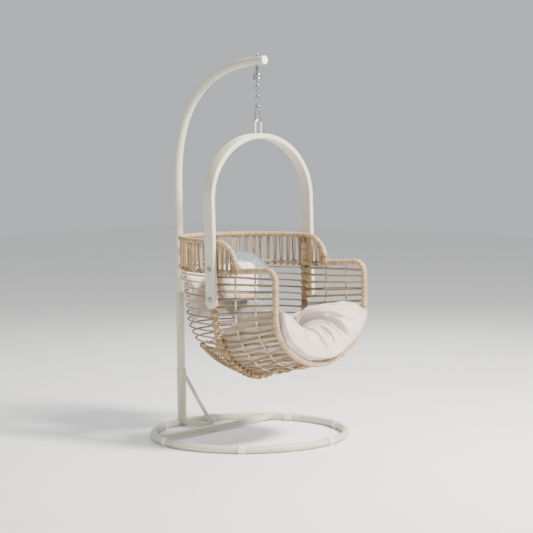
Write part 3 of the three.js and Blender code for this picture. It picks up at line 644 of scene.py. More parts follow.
def make_hook():
    neck = 0.0074
    hang = at_hang(0, 0, 0)
    bow_z = HOOK_BOTTOM_Z + HOOK_BOW_R

    def flat(across, height):
        return hang + across * FLAT_DIR + height * UP

    top = turn(flat(0, HOOK_TOP_Z), FLAT_DIR, UP, neck, 0, math.pi, 16)
    bottom = turn(flat(0, bow_z), FLAT_DIR, UP, HOOK_BOW_R, math.pi, 2 * math.pi, 22)
    path = np.concatenate([[flat(neck + 0.0006, HOOK_TOP_Z - 0.009)], top, bottom,
                           [flat(HOOK_BOW_R, bow_z + 0.009)]])
    Build().tube(resample(path, spacing=0.0015), 0.004, 14).make("hook_body", "hook", CHROME, "snap_hook")
    high, low = flat(neck + 0.0008, HOOK_TOP_Z - 0.0104), flat(HOOK_BOW_R, bow_z + 0.0098)
    radius = np.array([0.0033] * 2 + [0.0028] * 4 + [0.0033] * 2)
    Build().tube(straight(high, low, 8), radius, 14).make("hook_gate", "gate", CHROME, "snap_hook_gate")


# ------------------------------------------------------------------ hoop
def rounded_rectangle(half_depth, half_thickness, corner, steps=5):
    """Points round a rectangle with round corners, starting on its first corner."""
    corner = min(corner, half_depth * 0.98)
    points = []
    for k, (sx, sy) in enumerate([(1, 1), (-1, 1), (-1, -1), (1, -1)]):
        for j in range(steps):
            angle = math.pi / 2 * (k + j / (steps - 1))
            points.append(((half_depth - corner) * sx + corner * math.cos(angle),
                           (half_thickness - corner) * sy + corner * math.sin(angle)))
    return np.array(points)


def hoop_y(height):
    return (height - HOOP_TOP_Z) * math.tan(HOOP_LEAN)


def make_hoop():
    angles = np.linspace(math.pi, 0, 80)
    arc = np.stack([HOOP_HALF_WIDTH * np.cos(angles), np.zeros(80),
                    HOOP_SPRING_Z + (HOOP_TOP_Z - HOOP_SPRING_Z) * np.sin(angles)], axis=1)
    half_depth = HOOP_DEPTH / 2
    tip = half_depth * (1 - np.cos(np.linspace(0.02, math.pi / 2, 14)))
    leg_z = np.concatenate([HOOP_FOOT_Z + tip, np.linspace(HOOP_FOOT_Z + 0.04, HOOP_SPRING_Z, 14)])[:-1]
    leg = np.stack([np.full(len(leg_z), -HOOP_HALF_WIDTH), 0 * leg_z, leg_z], axis=1)
    path = np.concatenate([leg, arc, mirrored(leg)])
    tangents = np.gradient(path, axis=0)
    tangents /= np.linalg.norm(tangents, axis=1)[:, None]
    rows = []
    for point, tangent in zip(path, tangents):
        rise = half_depth - clamp(point[2] - HOOP_FOOT_Z, 0, half_depth)
        depth = math.sqrt(max(half_depth ** 2 - rise ** 2, 1e-7))
        outline = rounded_rectangle(depth, HOOP_THICKNESS / 2, 0.0045)
        across = np.cross(BACK, tangent)
        rows.append(point + outline[:, :1] * BACK + outline[:, 1:] * across)
    build = Build()
    rows = np.array(rows)
    rows[:, :, 1] += HANG_Y + hoop_y(rows[:, :, 2])
    build.grid(rows, caps=True)
    sharpen(build.make("flat_hoop", "seat", IVORY, "hoop"), 60)


def make_hoop_loop():
    radius = 0.020
    foot = HOOP_TOP_Z + HOOP_THICKNESS / 2 - 0.001
    bow = turn(at_hang(0, 0, LOOP_TOP_Z - radius), RIGHT, UP, radius, math.pi, 0, 30)
    path = np.concatenate([[at_hang(-radius, 0, foot)], bow, [at_hang(radius, 0, foot)]])
    build = Build()
    build.tube(resample(path, spacing=0.002), 0.005, 16)
    for side in [-1, 1]:
        build.lathe([(0.0075, 0), (0.007, 0.0014), (0.0052, 0.0035)],
                    at_hang(side * radius, 0, foot), UP, 24)
    build.make("loop", "seat", IVORY, "hoop_loop")


def make_side_bolts():
    outside = HOOP_HALF_WIDTH + HOOP_THICKNESS / 2
    inside = HALF_WIDTH - RIM_R - 0.008
    for side, sign in [("right", 1), ("left", -1)]:
        for height, name in zip(BOLT_Z, ["upper", "lower"]):
            centre = at_hang(0, hoop_y(height), height)
            axis = sign * RIGHT
            build = Build()
            build.lathe([(0.004, inside - 0.003), (0.004, outside), (0.0145, outside),
                         (0.015, outside + 0.0006), (0.0148, outside + 0.0018),
                         (0.0095, outside + 0.0024)], centre, axis, 40)
            build.lathe([(0.0001, outside + 0.002)] + hexagon(0.0086, outside + 0.002, outside + 0.0068)
                        + [(0.0001, outside + 0.0082)], centre, axis, 6)
            sharpen(build.make(f"bolt_{side}_{name}", "seat", STEEL, f"side_bolt_{side}_{name}"))
            build = Build()
            start = HALF_WIDTH - RIM_R - 0.007
            build.lathe([(0.0045, start)] + hexagon(0.008, start, start + 0.006)
                        + [(0.0045, start + 0.006)], centre, axis, 6)
            sharpen(build.make(f"nut_{side}_{name}", "seat", STEEL, f"side_nut_{side}_{name}"))


# ------------------------------------------------------------------ basket curves
def bowl_fraction(height, spring, bottom):
    drop = clamp((spring - height) / (spring - bottom))
    return max(1 - drop ** 2, 0) ** BOWL_POWER


def bowl(y, spring, bottom, count=160):
    """The round bottom of a U hoop, from its left spring line to its right one."""
    points = []
    for angle in np.linspace(0, math.pi, count):
        height = spring - (spring - bottom) * math.sin(angle)
        half = HALF_WIDTH * bowl_fraction(height, spring, bottom)
        points.append(at_hang(-math.copysign(half, math.cos(angle)), y, height))
    return np.array(points)


def front_hoop_path():
    bend = turn(at_hang(-HALF_WIDTH, FRONT_Y + ARM_BEND, ARM_FRONT_Z - ARM_BEND), UP, -BACK,
                ARM_BEND, 0, math.pi / 2, 14)
    arm = np.concatenate([[at_hang(-HALF_WIDTH, ARM_END_Y + 0.004, ARM_BACK_Z)], bend])
    return np.concatenate([arm, bowl(FRONT_Y, FRONT_SPRING, FRONT_BOTTOM), mirrored(arm)])


def rear_hoop_path():
    top = TOP_RAIL_Z - RAIL_R
    curve = bowl(REAR_Y, REAR_SPRING, REAR_BOTTOM)
    return np.concatenate([[at_hang(-HALF_WIDTH, REAR_Y, top)], curve,
                           [at_hang(HALF_WIDTH, REAR_Y, top)]])


def back_curve(depth, half, height, start, end, count):
    angles = np.linspace(start, end, count)
    return np.stack([-half * np.cos(angles), depth * np.sin(angles) + HANG_Y,
                     np.full(count, height)], axis=1)


def top_rail_path():
    centre = at_hang(-HALF_WIDTH, ARM_END_Y + TOP_RAIL_BEND, TOP_RAIL_Z - TOP_RAIL_BEND)
    landing = math.asin((ARM_BACK_Z + RAIL_R - centre[2]) / TOP_RAIL_BEND)
    bend = turn(centre, -BACK, UP, TOP_RAIL_BEND, landing, math.pi / 2, 24)
    around = back_curve(BACK_DEPTH, HALF_WIDTH, TOP_RAIL_Z, 0, math.pi, 160)
    return np.concatenate([bend, around, mirrored(bend)])


def trough_point(f, e, top, outward):
    """f: rear to front hoop.  e: left arm rail, under the seat, right arm rail."""
    spring, bottom = lerp(REAR_SPRING, FRONT_SPRING, f), lerp(REAR_BOTTOM, FRONT_BOTTOM, f)
    straight = top - spring
    half = (straight + 1.25 * (spring - bottom)) / straight
    run = abs(2 * e - 1) * half
    y = lerp(REAR_Y, FRONT_Y, f)
    side = -1 if e < 0.5 else 1
    if run > half - 1:
        return at_hang(side * (HALF_WIDTH + outward), y, spring + (run - half + 1) * straight)
    angle = (1 - run / (half - 1)) * math.pi / 2
    height = spring - (spring - bottom) * math.sin(angle)
    width = HALF_WIDTH * bowl_fraction(height, spring, bottom)
    return at_hang(side * (width + outward * math.cos(angle)), y, height - outward * math.sin(angle))


def back_point(a, height, out=0.0):
    above = max(height - REAR_SPRING, 0) / (BELT_Z - REAR_SPRING)
    drop = clamp((REAR_SPRING - height) / (REAR_SPRING - REAR_BOTTOM))
    depth = lerp(0.394, BACK_DEPTH - 0.006, above) * max(1 - drop ** 2, 0) ** BACK_POWER + out
    half = HALF_WIDTH * bowl_fraction(height, REAR_SPRING, REAR_BOTTOM) + out
    y = lerp(REAR_Y, max(depth, REAR_Y), math.sin(a * math.pi))
    return at_hang(-half * math.cos(a * math.pi), y, height)


# ------------------------------------------------------------------ wicker
def wrapped_rail(build, path, radius, pitch=WRAP_PITCH, sides=16):
    """A tube wound with flat cane: low ridges that climb round it, each turn its own tone, and painted
    shade darkening the grooves between turns.
    """
    points = resample(soften(resample(path, spacing=0.004), 2), spacing=pitch / 4)
    along = lengths(points)
    angles = np.arange(sides) / sides
    phase = along[:, None] / pitch + angles[None, :]
    across = np.abs(2 * (phase % 1) - 1)
    swing = 0.0005 * np.sin(along * 55)[:, None]
    turns = rng.random(int(phase.max()) + 3)
    # each turn's tone darkens towards its edges: painted shade in the grooves between turns
    tone = np.clip(turns[phase.astype(int)], 0.15, 0.85) - 0.35 * across ** 6
    build.tube(points, radius + swing - 0.0016 * across ** 4, sides, tone=tone)


def loops(build, centre, axis, radius, strand, turns):
    """A strand wound round a rail: a few turns side by side, slightly askew."""
    axis = axis / np.linalg.norm(axis)
    count = 14 * turns
    angles = np.linspace(0, 2 * math.pi * turns, count) + rng.random() * 6
    climb = np.linspace(-0.5, 0.5, count) * (turns * 2 * strand * 0.98)
    path = centre + climb[:, None] * axis + radius * circle(*square_to(axis), angles)
    build.tube(path, strand, 6, tone=rng.random())


def strand(build, points, radius, tone=None):
    """A length of cane that wanders slightly between its ends."""
    wobble = 0.0006 * np.cumsum(rng.standard_normal((len(points), 3)), axis=0)
    fade = np.sin(np.linspace(0, math.pi, len(points)))[:, None]
    tone = rng.random() if tone is None else tone
    build.tube(points + wobble * fade * 0.6, radius, 7, tone=tone)


def make_rails():
    for name, node, path, radius in [("front_rim", "front_hoop", front_hoop_path(), RIM_R),
                                     ("rear_rim", "rear_hoop", rear_hoop_path(), RIM_R - 0.001),
                                     ("top_rim", "top_rail", top_rail_path(), RAIL_R)]:
        build = Build()
        wrapped_rail(build, path, radius)
        build.make(name, "seat", RATTAN_RAIL, node)
    build = Build()
    belt = back_curve(BACK_DEPTH - 0.003, HALF_WIDTH, BELT_Z, 0.0, math.pi, 120)
    build.tube(belt, BELT_R - 0.001, 14)
    for side in [-1, 1]:
        ends = [at_hang(side * HALF_WIDTH, REAR_Y, BELT_Z), at_hang(side * HALF_WIDTH, ARM_END_Y, BELT_Z)]
        build.tube(straight(*ends, 8), BELT_R - 0.001, 14)
    build.make("belt", "seat", GREY_ROD, "belt_rail", "belt_side_left", "belt_side_right")


def stake_top(f):
    return lerp(ARM_BACK_Z, ARM_FRONT_Z, f)


def make_stakes():
    for name, f in zip(["rear", "front"], STAKE_PLACES):
        path = [trough_point(f, e, stake_top(f), 0.006) for e in np.linspace(0, 1, 140)]
        build = Build()
        points = resample(path, spacing=0.006)
        ripple = STAKE_R * (1 + 0.10 * np.sin(lengths(points) * 340))
        build.tube(points, ripple, 10, tone=0.5 + 0.3 * np.sin(lengths(points) * 90))
        build.make(f"stake_{name}", "seat", STAKE, f"seat_stake_{name}")


def rung_places():
    """Evenly spaced places down the trough's side, as fractions across it."""
    top = ARM_BACK_Z
    fractions = np.linspace(0, 0.5, 400)
    path = np.array([trough_point(0.5, e, top, 0) for e in fractions])
    along = lengths(path)
    wanted = np.arange(0.028, along[-1] - 0.010, ROW_PITCH)
    return np.interp(wanted, along, fractions)


def rung_path(k, e):
    """Rung k at e across the trough: outside one stake, inside the next, and over the rear rim."""
    points = []
    for f in np.linspace(-0.035, 1.0, 30):
        weave = 0.0
        for n, stake in enumerate(STAKE_PLACES):
            swing = 0.010 if (k + n) % 2 else -0.007
            weave += swing * math.exp(-((f - stake) / 0.085) ** 2)
        near_rear = math.exp(-((f + 0.03) / 0.05) ** 2)
        outward = weave + 0.017 * near_rear - 0.001
        points.append(trough_point(clamp(f), clamp(e), ARM_BACK_Z, outward) - min(f, 0) * 0.39 * BACK)
    return np.array(points)


def make_seat_weave():
    """Double strands from the rear hoop to the front hoop, in and out of the two stakes."""
    for side, sign in [("left", 1), ("right", -1)]:
        build = Build()
        for k, place in enumerate(rung_places()):
            e = place if side == "left" else 1 - place
            for pair in [-1, 1]:
                split = pair * sign * PAIR_SPLIT * (1 + 0.001 * rng.standard_normal())
                # the rungs' tones darken towards the bottom of the trough: painted shade under the seat
                strand(build, rung_path(k, e + split), 0.0037, rng.random() * (1 - 1.3 * place))
            if place < 0.492:
                knot, before, after = (trough_point(0.0, clamp(e + d), ARM_BACK_Z, 0)
                                       for d in (0, -0.01, 0.01))
                loops(build, knot, after - before, RIM_R + 0.0012, 0.0032, 3)
        build.make(f"side_weave_{side}", "seat", RATTAN, f"weave_seat_{side}")


def add_back_rows(build):
    for height in BACK_ROWS:
        sag = 0.003 * rng.standard_normal()
        points = []
        for a in np.linspace(0.0, 1.0, 60):
            near_end = math.exp(-(min(a, 1 - a) / 0.02) ** 2)
            points.append(back_point(a, height + sag * math.sin(a * math.pi) * 0.5, 0.012 * near_end))
        strand(build, np.array(points), 0.0046)
        for side in [0, 1]:
            knot = back_point(side, height - 0.004)
            above, below = back_point(side, height + 0.01), back_point(side, height - 0.01)
            loops(build, knot, above - below, RIM_R + 0.0014, 0.0034, 2)


def add_back_comb(build):
    """Strands from side to side under the back, tied to its lowest row."""
    low_row = BACK_ROWS[-1]
    for y in COMB_PLACES:
        points = []
        for height in low_row - (low_row - REAR_BOTTOM - 0.002) * np.linspace(0, 1, 60):
            drop = clamp((REAR_SPRING - height) / (REAR_SPRING - REAR_BOTTOM))
            depth = 0.394 * max(1 - drop ** 2, 0) ** BACK_POWER
            reach = (y - REAR_Y) / max(depth - REAR_Y, 1e-6)
            if reach > 1:
                break
            points.append(back_point(math.asin(reach) / math.pi, height, 0.001))
        points = np.array(points)
        floor = points[-1] * np.array([0, 1, 1])
        whole = np.concatenate([points, [floor], mirrored(points)])
        # the comb strands get darker tones than the rows above: painted shade under the back
        strand(build, resample(soften(resample(whole, count=60), 2), count=44), 0.0042, 0.7 * rng.random())
        for side in [-1, 1]:
            knot = points[0] * np.array([-side, 1, 1])
            loops(build, knot, RIGHT * 0.6 + BACK * side * 0.8, 0.0065, 0.0026, 2)


def make_back_weave():
    build = Build()
    add_back_rows(build)
    add_back_comb(build)
    build.make("back_rows", "seat", RATTAN, "weave_back")


def band_stations():
    """Where the struts stand: along the left side, round the back, and along the right side."""
    side_run = np.linspace(ARM_END_Y + 0.030, REAR_Y - 0.024, 4)
    left = [("side", -1, y) for y in side_run]
    right = [("side", 1, y) for y in side_run]
    around = back_curve(BACK_DEPTH, HALF_WIDTH, 0, 0, math.pi, 400)
    along = lengths(around)
    count = int(along[-1] / STRUT_PITCH)
    spots = np.interp((np.arange(count) + 0.5) / count * along[-1], along, np.linspace(0, math.pi, 400))
    return left + [("back", angle, 0) for angle in spots] + right


def rail_height(y):
    """Height of the top rail's centre line over a point of the side."""
    centre_y, centre_z = ARM_END_Y + TOP_RAIL_BEND, TOP_RAIL_Z - TOP_RAIL_BEND
    if y >= centre_y:
        return TOP_RAIL_Z
    return centre_z + math.sqrt(max(TOP_RAIL_BEND ** 2 - (centre_y - y) ** 2, 0))


def make_band():
    """Pairs of upright strands: spread at the top rail, drawn together at the belt."""
    build = Build()
    for kind, place, y in band_stations():
        if kind == "side":
            foot = at_hang(place * HALF_WIDTH, y, BELT_Z)
            head = at_hang(place * HALF_WIDTH, y, rail_height(y))
            along, outward = BACK, place * RIGHT
        else:
            c, s = math.cos(place), math.sin(place)
            foot = at_hang(-HALF_WIDTH * c, (BACK_DEPTH - 0.003) * s, BELT_Z)
            head = at_hang(-HALF_WIDTH * c, BACK_DEPTH * s, TOP_RAIL_Z)
            along = np.array([HALF_WIDTH * s, BACK_DEPTH * c, 0])
            along /= np.linalg.norm(along)
            outward = np.cross(along, UP)
        spread = 0.0060 + 0.002 * rng.random()
        lean = 0.003 * rng.standard_normal()
        for pair in [-1, 1]:
            t = np.linspace(0, 1, 14)[:, None]
            gap = lerp(0.0036, spread, t)
            rise = lerp(foot[2] - 0.016, head[2], t)
            bulge = 0.009 * np.exp(-(t / 0.10) ** 2)
            points = foot + t * (head - foot)
            points[:, 2] = rise[:, 0]
            points = points + pair * gap * along + lean * t * along + bulge * outward
            strand(build, points, 0.0042)
        loops(build, foot, along, BELT_R + 0.0025, 0.0034, 3)
        loops(build, head + lean * along - 0.011 * UP, UP, 0.0052, 0.0030, 1)
    build.make("band_struts", "seat", RATTAN, "weave_band")


def make_joint_knots():
    """Bindings where the top rail lands on the arm rails, and the arm rails meet the belt."""
    build = Build()
    for side in [-1, 1]:
        landing = at_hang(side * HALF_WIDTH, ARM_END_Y, ARM_BACK_Z + 0.006)
        for k in range(5):
            tilt = BACK * math.cos(0.5 * k - 1) + UP * math.sin(0.5 * k - 1)
            loops(build, landing + 0.003 * (k - 2) * UP, tilt, RIM_R + 0.0025, 0.003, 2)
        loops(build, landing + 0.022 * UP, UP, RAIL_R + 0.002, 0.0032, 3)
        loops(build, landing - 0.010 * BACK, BACK, RIM_R + 0.002, 0.0032, 3)
        post_top = at_hang(side * HALF_WIDTH, REAR_Y, TOP_RAIL_Z)
        for k in range(3):
            loops(build, post_top - (0.017 + 0.009 * k) * UP, UP, RIM_R + 0.0010, 0.0032, 2)
    build.make("joint_knots", "seat", RATTAN)


# ------------------------------------------------------------------ soft goods
def applied(piece):
    """Replaces a piece's mesh with the one its modifiers make."""
    graph = bpy.context.evaluated_depsgraph_get()
    old = piece.data
    made = bpy.data.meshes.new_from_object(piece.evaluated_get(graph))
    piece.modifiers.clear()
    piece.data = made
    bpy.data.meshes.remove(old)


def coordinates(mesh):
    flat = np.empty(len(mesh.vertices) * 3, np.float32)
    mesh.vertices.foreach_get("co", flat)
    return flat.reshape(-1, 3)


def inflate(piece, voxel, cap):
    """Remeshes a cushion and lets air pressure fill its cover, within a limit."""
    remesh = piece.modifiers.new("remesh", "REMESH")
    remesh.mode = "VOXEL"
    remesh.voxel_size = voxel
    applied(piece)
    before = coordinates(piece.data)
    cloth = piece.modifiers.new("cloth", "CLOTH").settings
    cloth.use_pressure = True
    cloth.uniform_pressure_force = 4.0
    cloth.effector_weights.gravity = 0
    cloth.quality = 4
    for number in range(1, 21):
        bpy.context.scene.frame_set(number)
    graph = bpy.context.evaluated_depsgraph_get()
    after = coordinates(piece.evaluated_get(graph).data)
    piece.modifiers.clear()
    move = after - before
    size = np.linalg.norm(move, axis=1)[:, None]
    move *= np.minimum(1, cap / np.maximum(size, 1e-9))
    piece.data.vertices.foreach_set("co", (before + move).ravel())
    bpy.context.scene.frame_set(1)
    smoother = piece.modifiers.new("smooth", "SUBSURF")
    smoother.levels = 1
    applied(piece)
    piece.data.shade_smooth()


def pillow_sheet(surface, thickness, rows, columns, outward):
    """A closed cover of two sheets over surface(s, t), that meet along its edge."""
    s = np.linspace(0, 1, rows)
    t = np.linspace(0, 1, columns)
    base = np.array([[surface(a, b) for b in t] for a in s])
    normals = np.cross(np.gradient(base, axis=0), np.gradient(base, axis=1))
    normals /= np.linalg.norm(normals, axis=2)[:, :, None]
    lift = np.array([[thickness(a, b) for b in t] for a in s])
    top = base + outward * lift[:, :, None] * normals
    build = Build()
    index = np.arange(rows * columns).reshape(rows, columns)
    faces = []
    for sheet_index, flip in [(index, False), (index + rows * columns, True)]:
        for i in range(rows - 1):
            for j in range(columns - 1):
                face = [sheet_index[i, j], sheet_index[i + 1, j], sheet_index[i + 1, j + 1],
                        sheet_index[i, j + 1]]
                faces.append(face[::-1] if flip else face)
    rim = list(index[0]) + list(index[1:, -1]) + list(index[-1, -2::-1]) + list(index[-2:0:-1, 0])
    for a, b in zip(rim, rim[1:] + rim[:1]):
        faces.append([b, a, a + rows * columns, b + rows * columns])
    build.add(np.concatenate([base.reshape(-1, 3), top.reshape(-1, 3)]), faces)
    return build


def outline_of(surface, thickness, outward, side, count=240):
    """The seam line round a cushion's edge, part way between its two sheets."""
    corners = np.array([(0, 0), (1, 0), (1, 1), (0, 1), (0, 0)], float)
    line = resample(np.concatenate([corners, np.zeros((5, 1))], axis=1), count=count)[:-1]
    points = []
    for s, t, _ in line:
        du = surface(min(s + 0.01, 1), t) - surface(max(s - 0.01, 0), t)
        dv = surface(s, min(t + 0.01, 1)) - surface(s, max(t - 0.01, 0))
        normal = np.cross(du, dv)
        normal /= np.linalg.norm(normal)
        points.append(surface(s, t) + outward * side * thickness(s, t) * normal)
    return np.array(points)


def piping(build, piece, points, radius):
    """A corded seam laid on a cushion's surface, two fifths of its radius proud."""
    nearest = [piece.closest_point_on_mesh(Vector(point)) for point in points]
    laid = np.array([place + 0.4 * radius * normal for _, place, normal, _ in nearest])
    for _ in range(3):
        laid = 0.25 * np.roll(laid, 1, 0) + 0.5 * laid + 0.25 * np.roll(laid, -1, 0)
    build.tube(laid, radius, 8, closed=True)


def displace(piece, amount):
    """Moves each point along its normal by amount(place)."""
    places = coordinates(piece.data)
    normals = np.empty(len(places) * 3, np.float32)
    piece.data.vertices.foreach_get("normal", normals)
    lift = np.array([amount(place) for place in places])
    piece.data.vertices.foreach_set("co", (places + lift[:, None] * normals.reshape(-1, 3)).ravel())
    piece.data.update()


def fold_noise(place, scale, seed):
    return noise.noise(Vector(place) * scale + Vector((seed, 0, 0)))


SEAT_REACH = (-0.34, 1.11)


def seat_base(s, t):
    f = lerp(*SEAT_REACH, t)
    behind = min(f, 0) ** 2
    side = lerp(0.27, 0.15, min(t * 1.6, 1))
    far_side = side + 0.05 * max((t - 0.72) / 0.28, 0) ** 2
    along = clamp(f - max(f - 0.85, 0) ** 2 / 0.6)
    top = lerp(ARM_BACK_Z, ARM_FRONT_Z, 0.5) - RIM_R - 0.003
    p = trough_point(along, lerp(side, 1 - far_side, s), top, -0.023)
    return np.array([p[0] * (1 - 0.9 * behind), lerp(REAR_Y, FRONT_Y, f) + HANG_Y,
                     p[2] + 0.230 * behind])


def crown(s, t):
    return max(math.sin(math.pi * s) * math.sin(math.pi * t), 0) ** 0.4


def rounded_edge(x, width):
    return math.sqrt(1 - (1 - min(min(x, 1 - x) / width, 1)) ** 2)


def seat_swell(s, t):
    hollow = math.exp(-((s - 0.53) / 0.17) ** 2 - ((t - 0.38) / 0.29) ** 2)
    body = (rounded_edge(s, 0.22) * rounded_edge(t, 0.34)) ** 1.3
    return (0.004 + 0.176 * body) * (1 - 0.92 * hollow)


def pad_base(s, t):
    return back_point(lerp(0.30, 0.8, s), lerp(0.575, 0.838, t), -0.016)


def pad_swell(s, t):
    tufts = 0.0
    for a in [0.28, 0.5, 0.72]:
        for b in [0.33, 0.68]:
            tufts += math.exp(-((s - a) / 0.07) ** 2 - ((t - b) / 0.09) ** 2)
    return lerp(0.006, 0.112, crown(s, t)) * (1 - 0.22 * tufts)


def seat_creases():
    """Lines across the seat cushion where its cover folds in: (s, t) points, depth and width."""
    return [([(0.58, 0.56), (0.66, 0.66), (0.72, 0.80), (0.74, 0.97)], 0.020, 0.012),
            ([(0.66, 0.56), (0.76, 0.60), (0.86, 0.70), (0.93, 0.82)], 0.020, 0.014),
            ([(0.62, 0.62), (0.70, 0.70), (0.80, 0.84), (0.85, 0.95)], 0.009, 0.009),
            ([(0.44, 0.66), (0.40, 0.78), (0.38, 0.90)], 0.010, 0.009),
            ([(0.50, 0.70), (0.52, 0.84), (0.53, 0.97)], 0.008, 0.009),
            ([(0.30, 0.55), (0.24, 0.68), (0.20, 0.80)], 0.010, 0.012),
            ([(0.24, 0.82), (0.22, 0.96)], 0.008, 0.008),
            ([(0.34, 0.84), (0.33, 0.97)], 0.008, 0.008),
            ([(0.62, 0.84), (0.63, 0.97)], 0.008, 0.007),
            ([(0.72, 0.42), (0.80, 0.44), (0.88, 0.50)], 0.010, 0.010),
            ([(0.70, 0.30), (0.78, 0.28), (0.88, 0.30)], 0.008, 0.009),
            ([(0.70, 0.18), (0.80, 0.16), (0.90, 0.18)], 0.008, 0.009)]


def make_seat_cushion():
    outward = -1
    build = pillow_sheet(seat_base, seat_swell, 110, 80, outward)
    cushion = build.make("seat_nest", "seat", COTTON, "seat_cushion")
    inflate(cushion, 0.007, 0.014)
    creases = []
    for line, depth, width in seat_creases():
        path = resample(np.array([(s, t, 0) for s, t in line]), count=80)
        top = []
        for s, t, _ in path:
            du = seat_base(s + 0.005, t) - seat_base(s - 0.005, t)
            dv = seat_base(s, min(t + 0.005, 1)) - seat_base(s, t - 0.005)
            normal = np.cross(du, dv) / np.linalg.norm(np.cross(du, dv))
            top.append(seat_base(s, t) + outward * seat_swell(s, t) * normal)
        laid = [cushion.closest_point_on_mesh(Vector(point))[1] for point in top]
        creases.append((soften(np.array(laid), 30), depth, width))

    def wrinkle(place):
        move = 0.008 * fold_noise(place, 8, 3) + 0.006 * fold_noise(place, 20, 8)
        for top, depth, width in creases:
            gaps = np.linalg.norm(top - place, axis=1)
            nearest = int(gaps.argmin())
            taper = math.sin(math.pi * (nearest + 1) / (len(top) + 1)) ** 0.5
            gap = gaps[nearest]
            if gap < 4 * width:
                fold = math.exp(-(gap / width) ** 2) - 0.4 * math.exp(-((gap - 2 * width) / width) ** 2)
                move -= 2.1 * depth * taper * fold
        return move

    displace(cushion, wrinkle)
    seam = Build()
    piping(seam, cushion, outline_of(seat_base, seat_swell, outward, 0.08), 0.0032)
    seam.make("seat_piping", "seat", COTTON)


def make_back_pad():
    build = pillow_sheet(pad_base, pad_swell, 90, 60, 1 if pad_turns_in() else -1)
    pad = build.make("back_cushion", "seat", COTTON, "back_pad")
    inflate(pad, 0.008, 0.012)
    displace(pad, lambda place: 0.003 * fold_noise(place, 12, 5) + 0.0015 * fold_noise(place, 30, 1))


def pad_turns_in():
    """Whether the pad surface's normal points at the middle of the basket."""
    du = pad_base(0.51, 0.5) - pad_base(0.49, 0.5)
    dv = pad_base(0.5, 0.51) - pad_base(0.5, 0.49)
    return np.cross(du, dv)[1] < 0


ROUND = {"x": 0.020, "y": 0.092, "z": 0.738, "radius": 0.205, "half": 0.050, "lean": 0.3}
PILLOW = {"x": -0.170, "y": -0.018, "z": 0.800, "width": 0.260, "height": 0.200,
          "thickness": 0.084, "lean": 0.15}


def make_round_cushion():
    centre = at_hang(ROUND["x"], ROUND["y"], ROUND["z"])
    lean = ROUND["lean"]
    axis = np.array([0, -math.cos(lean), math.sin(lean)])
    angles = np.linspace(-math.pi / 2, math.pi / 2, 45)
    profile = [(max(ROUND["radius"] * math.cos(a) ** 0.75, 1e-4), ROUND["half"] * math.sin(a))
               for a in angles]
    build = Build()
    build.lathe(profile, centre, axis, 120)
    cushion = build.make("plush_round", "seat", PLUSH, "round_cushion")
    inflate(cushion, 0.008, 0.008)

    def tufting(place):
        offset = np.array(place) - centre
        height = offset.dot(axis)
        radius = np.linalg.norm(offset - height * axis)
        dimple = -0.022 * math.exp(-(radius / 0.045) ** 2)
        return dimple + 0.004 * fold_noise(place, 14, 2) + 0.002 * fold_noise(place, 60, 4)

    displace(cushion, tufting)
    fuzz(cushion, "plush_pile", 26000, 0.009)


def fuzz(piece, name, count, length):
    """Short tapering fibres that stand out of a plush cover."""
    mesh = piece.data
    mesh.calc_loop_triangles()
    corners = np.array([t.vertices[:] for t in mesh.loop_triangles])
    places = coordinates(mesh)
    a, b, c = places[corners[:, 0]], places[corners[:, 1]], places[corners[:, 2]]
    normal = np.cross(b - a, c - a)
    area = np.linalg.norm(normal, axis=1)
    picks = rng.choice(len(area), count, p=area / area.sum())
    u, v = rng.random(count), rng.random(count)
    over = u + v > 1
    u[over], v[over] = 1 - u[over], 1 - v[over]
    a, b, c = a[picks], b[picks], c[picks]
    foot = a + u[:, None] * (b - a) + v[:, None] * (c - a)
    out = normal[picks] / area[picks][:, None] + 0.55 * rng.standard_normal((count, 3))
    out /= np.linalg.norm(out, axis=1)[:, None]
    across = np.cross(out, rng.standard_normal((count, 3)))
    across /= np.linalg.norm(across, axis=1)[:, None]
    size = length * (0.5 + 0.7 * rng.random(count))[:, None]
    verts = np.stack([foot - 0.0007 * across, foot + 0.0007 * across, foot + size * out], axis=1)
    build = Build()
    build.add(verts, [[3 * i, 3 * i + 1, 3 * i + 2] for i in range(count)])
    build.make(name, "seat", PLUSH)


def make_small_pillow():
    centre = at_hang(PILLOW["x"], PILLOW["y"], PILLOW["z"])
    lean = PILLOW["lean"]
    up = np.array([0, math.sin(lean), math.cos(lean)])
    out = np.array([0, -math.cos(lean), math.sin(lean)])

    def face(s, t):
        u, v = 2 * s - 1, 2 * t - 1
        x = u * math.sqrt(1 - 0.26 * v * v) * PILLOW["width"] / 2
        z = v * math.sqrt(1 - 0.26 * u * u) * PILLOW["height"] / 2
        return centre + x * RIGHT * 0.985 + z * up * 0.985

    def half_thickness(s, t):
        u, v = 2 * s - 1, 2 * t - 1
        body = max((1 - u ** 2) * (1 - v ** 2), 0) ** 0.42
        pleats = 1 + 0.10 * math.sin(u * 15 + 2 * v) * (0.4 + 0.6 * abs(v))
        return 0.0015 + PILLOW["thickness"] / 2 * body * pleats

    build = Build()
    rows, columns = 70, 60
    for sign in [1, -1]:
        grid = np.array([[face(s, t) + sign * half_thickness(s, t) * out
                          for t in np.linspace(0, 1, columns)] for s in np.linspace(0, 1, rows)])
        build.grid(grid if sign < 0 else grid[:, ::-1], wrap=False)
    pillow = build.make("little_pillow", "seat", PINK_COTTON, "small_pillow")
    weld = pillow.modifiers.new("weld", "WELD")
    weld.merge_threshold = 0.0034
    applied(pillow)
    inflate(pillow, 0.005, 0.008)
    displace(pillow, lambda place: 0.003 * fold_noise(place * np.array([2.2, 1, 0.8]), 16, 6))


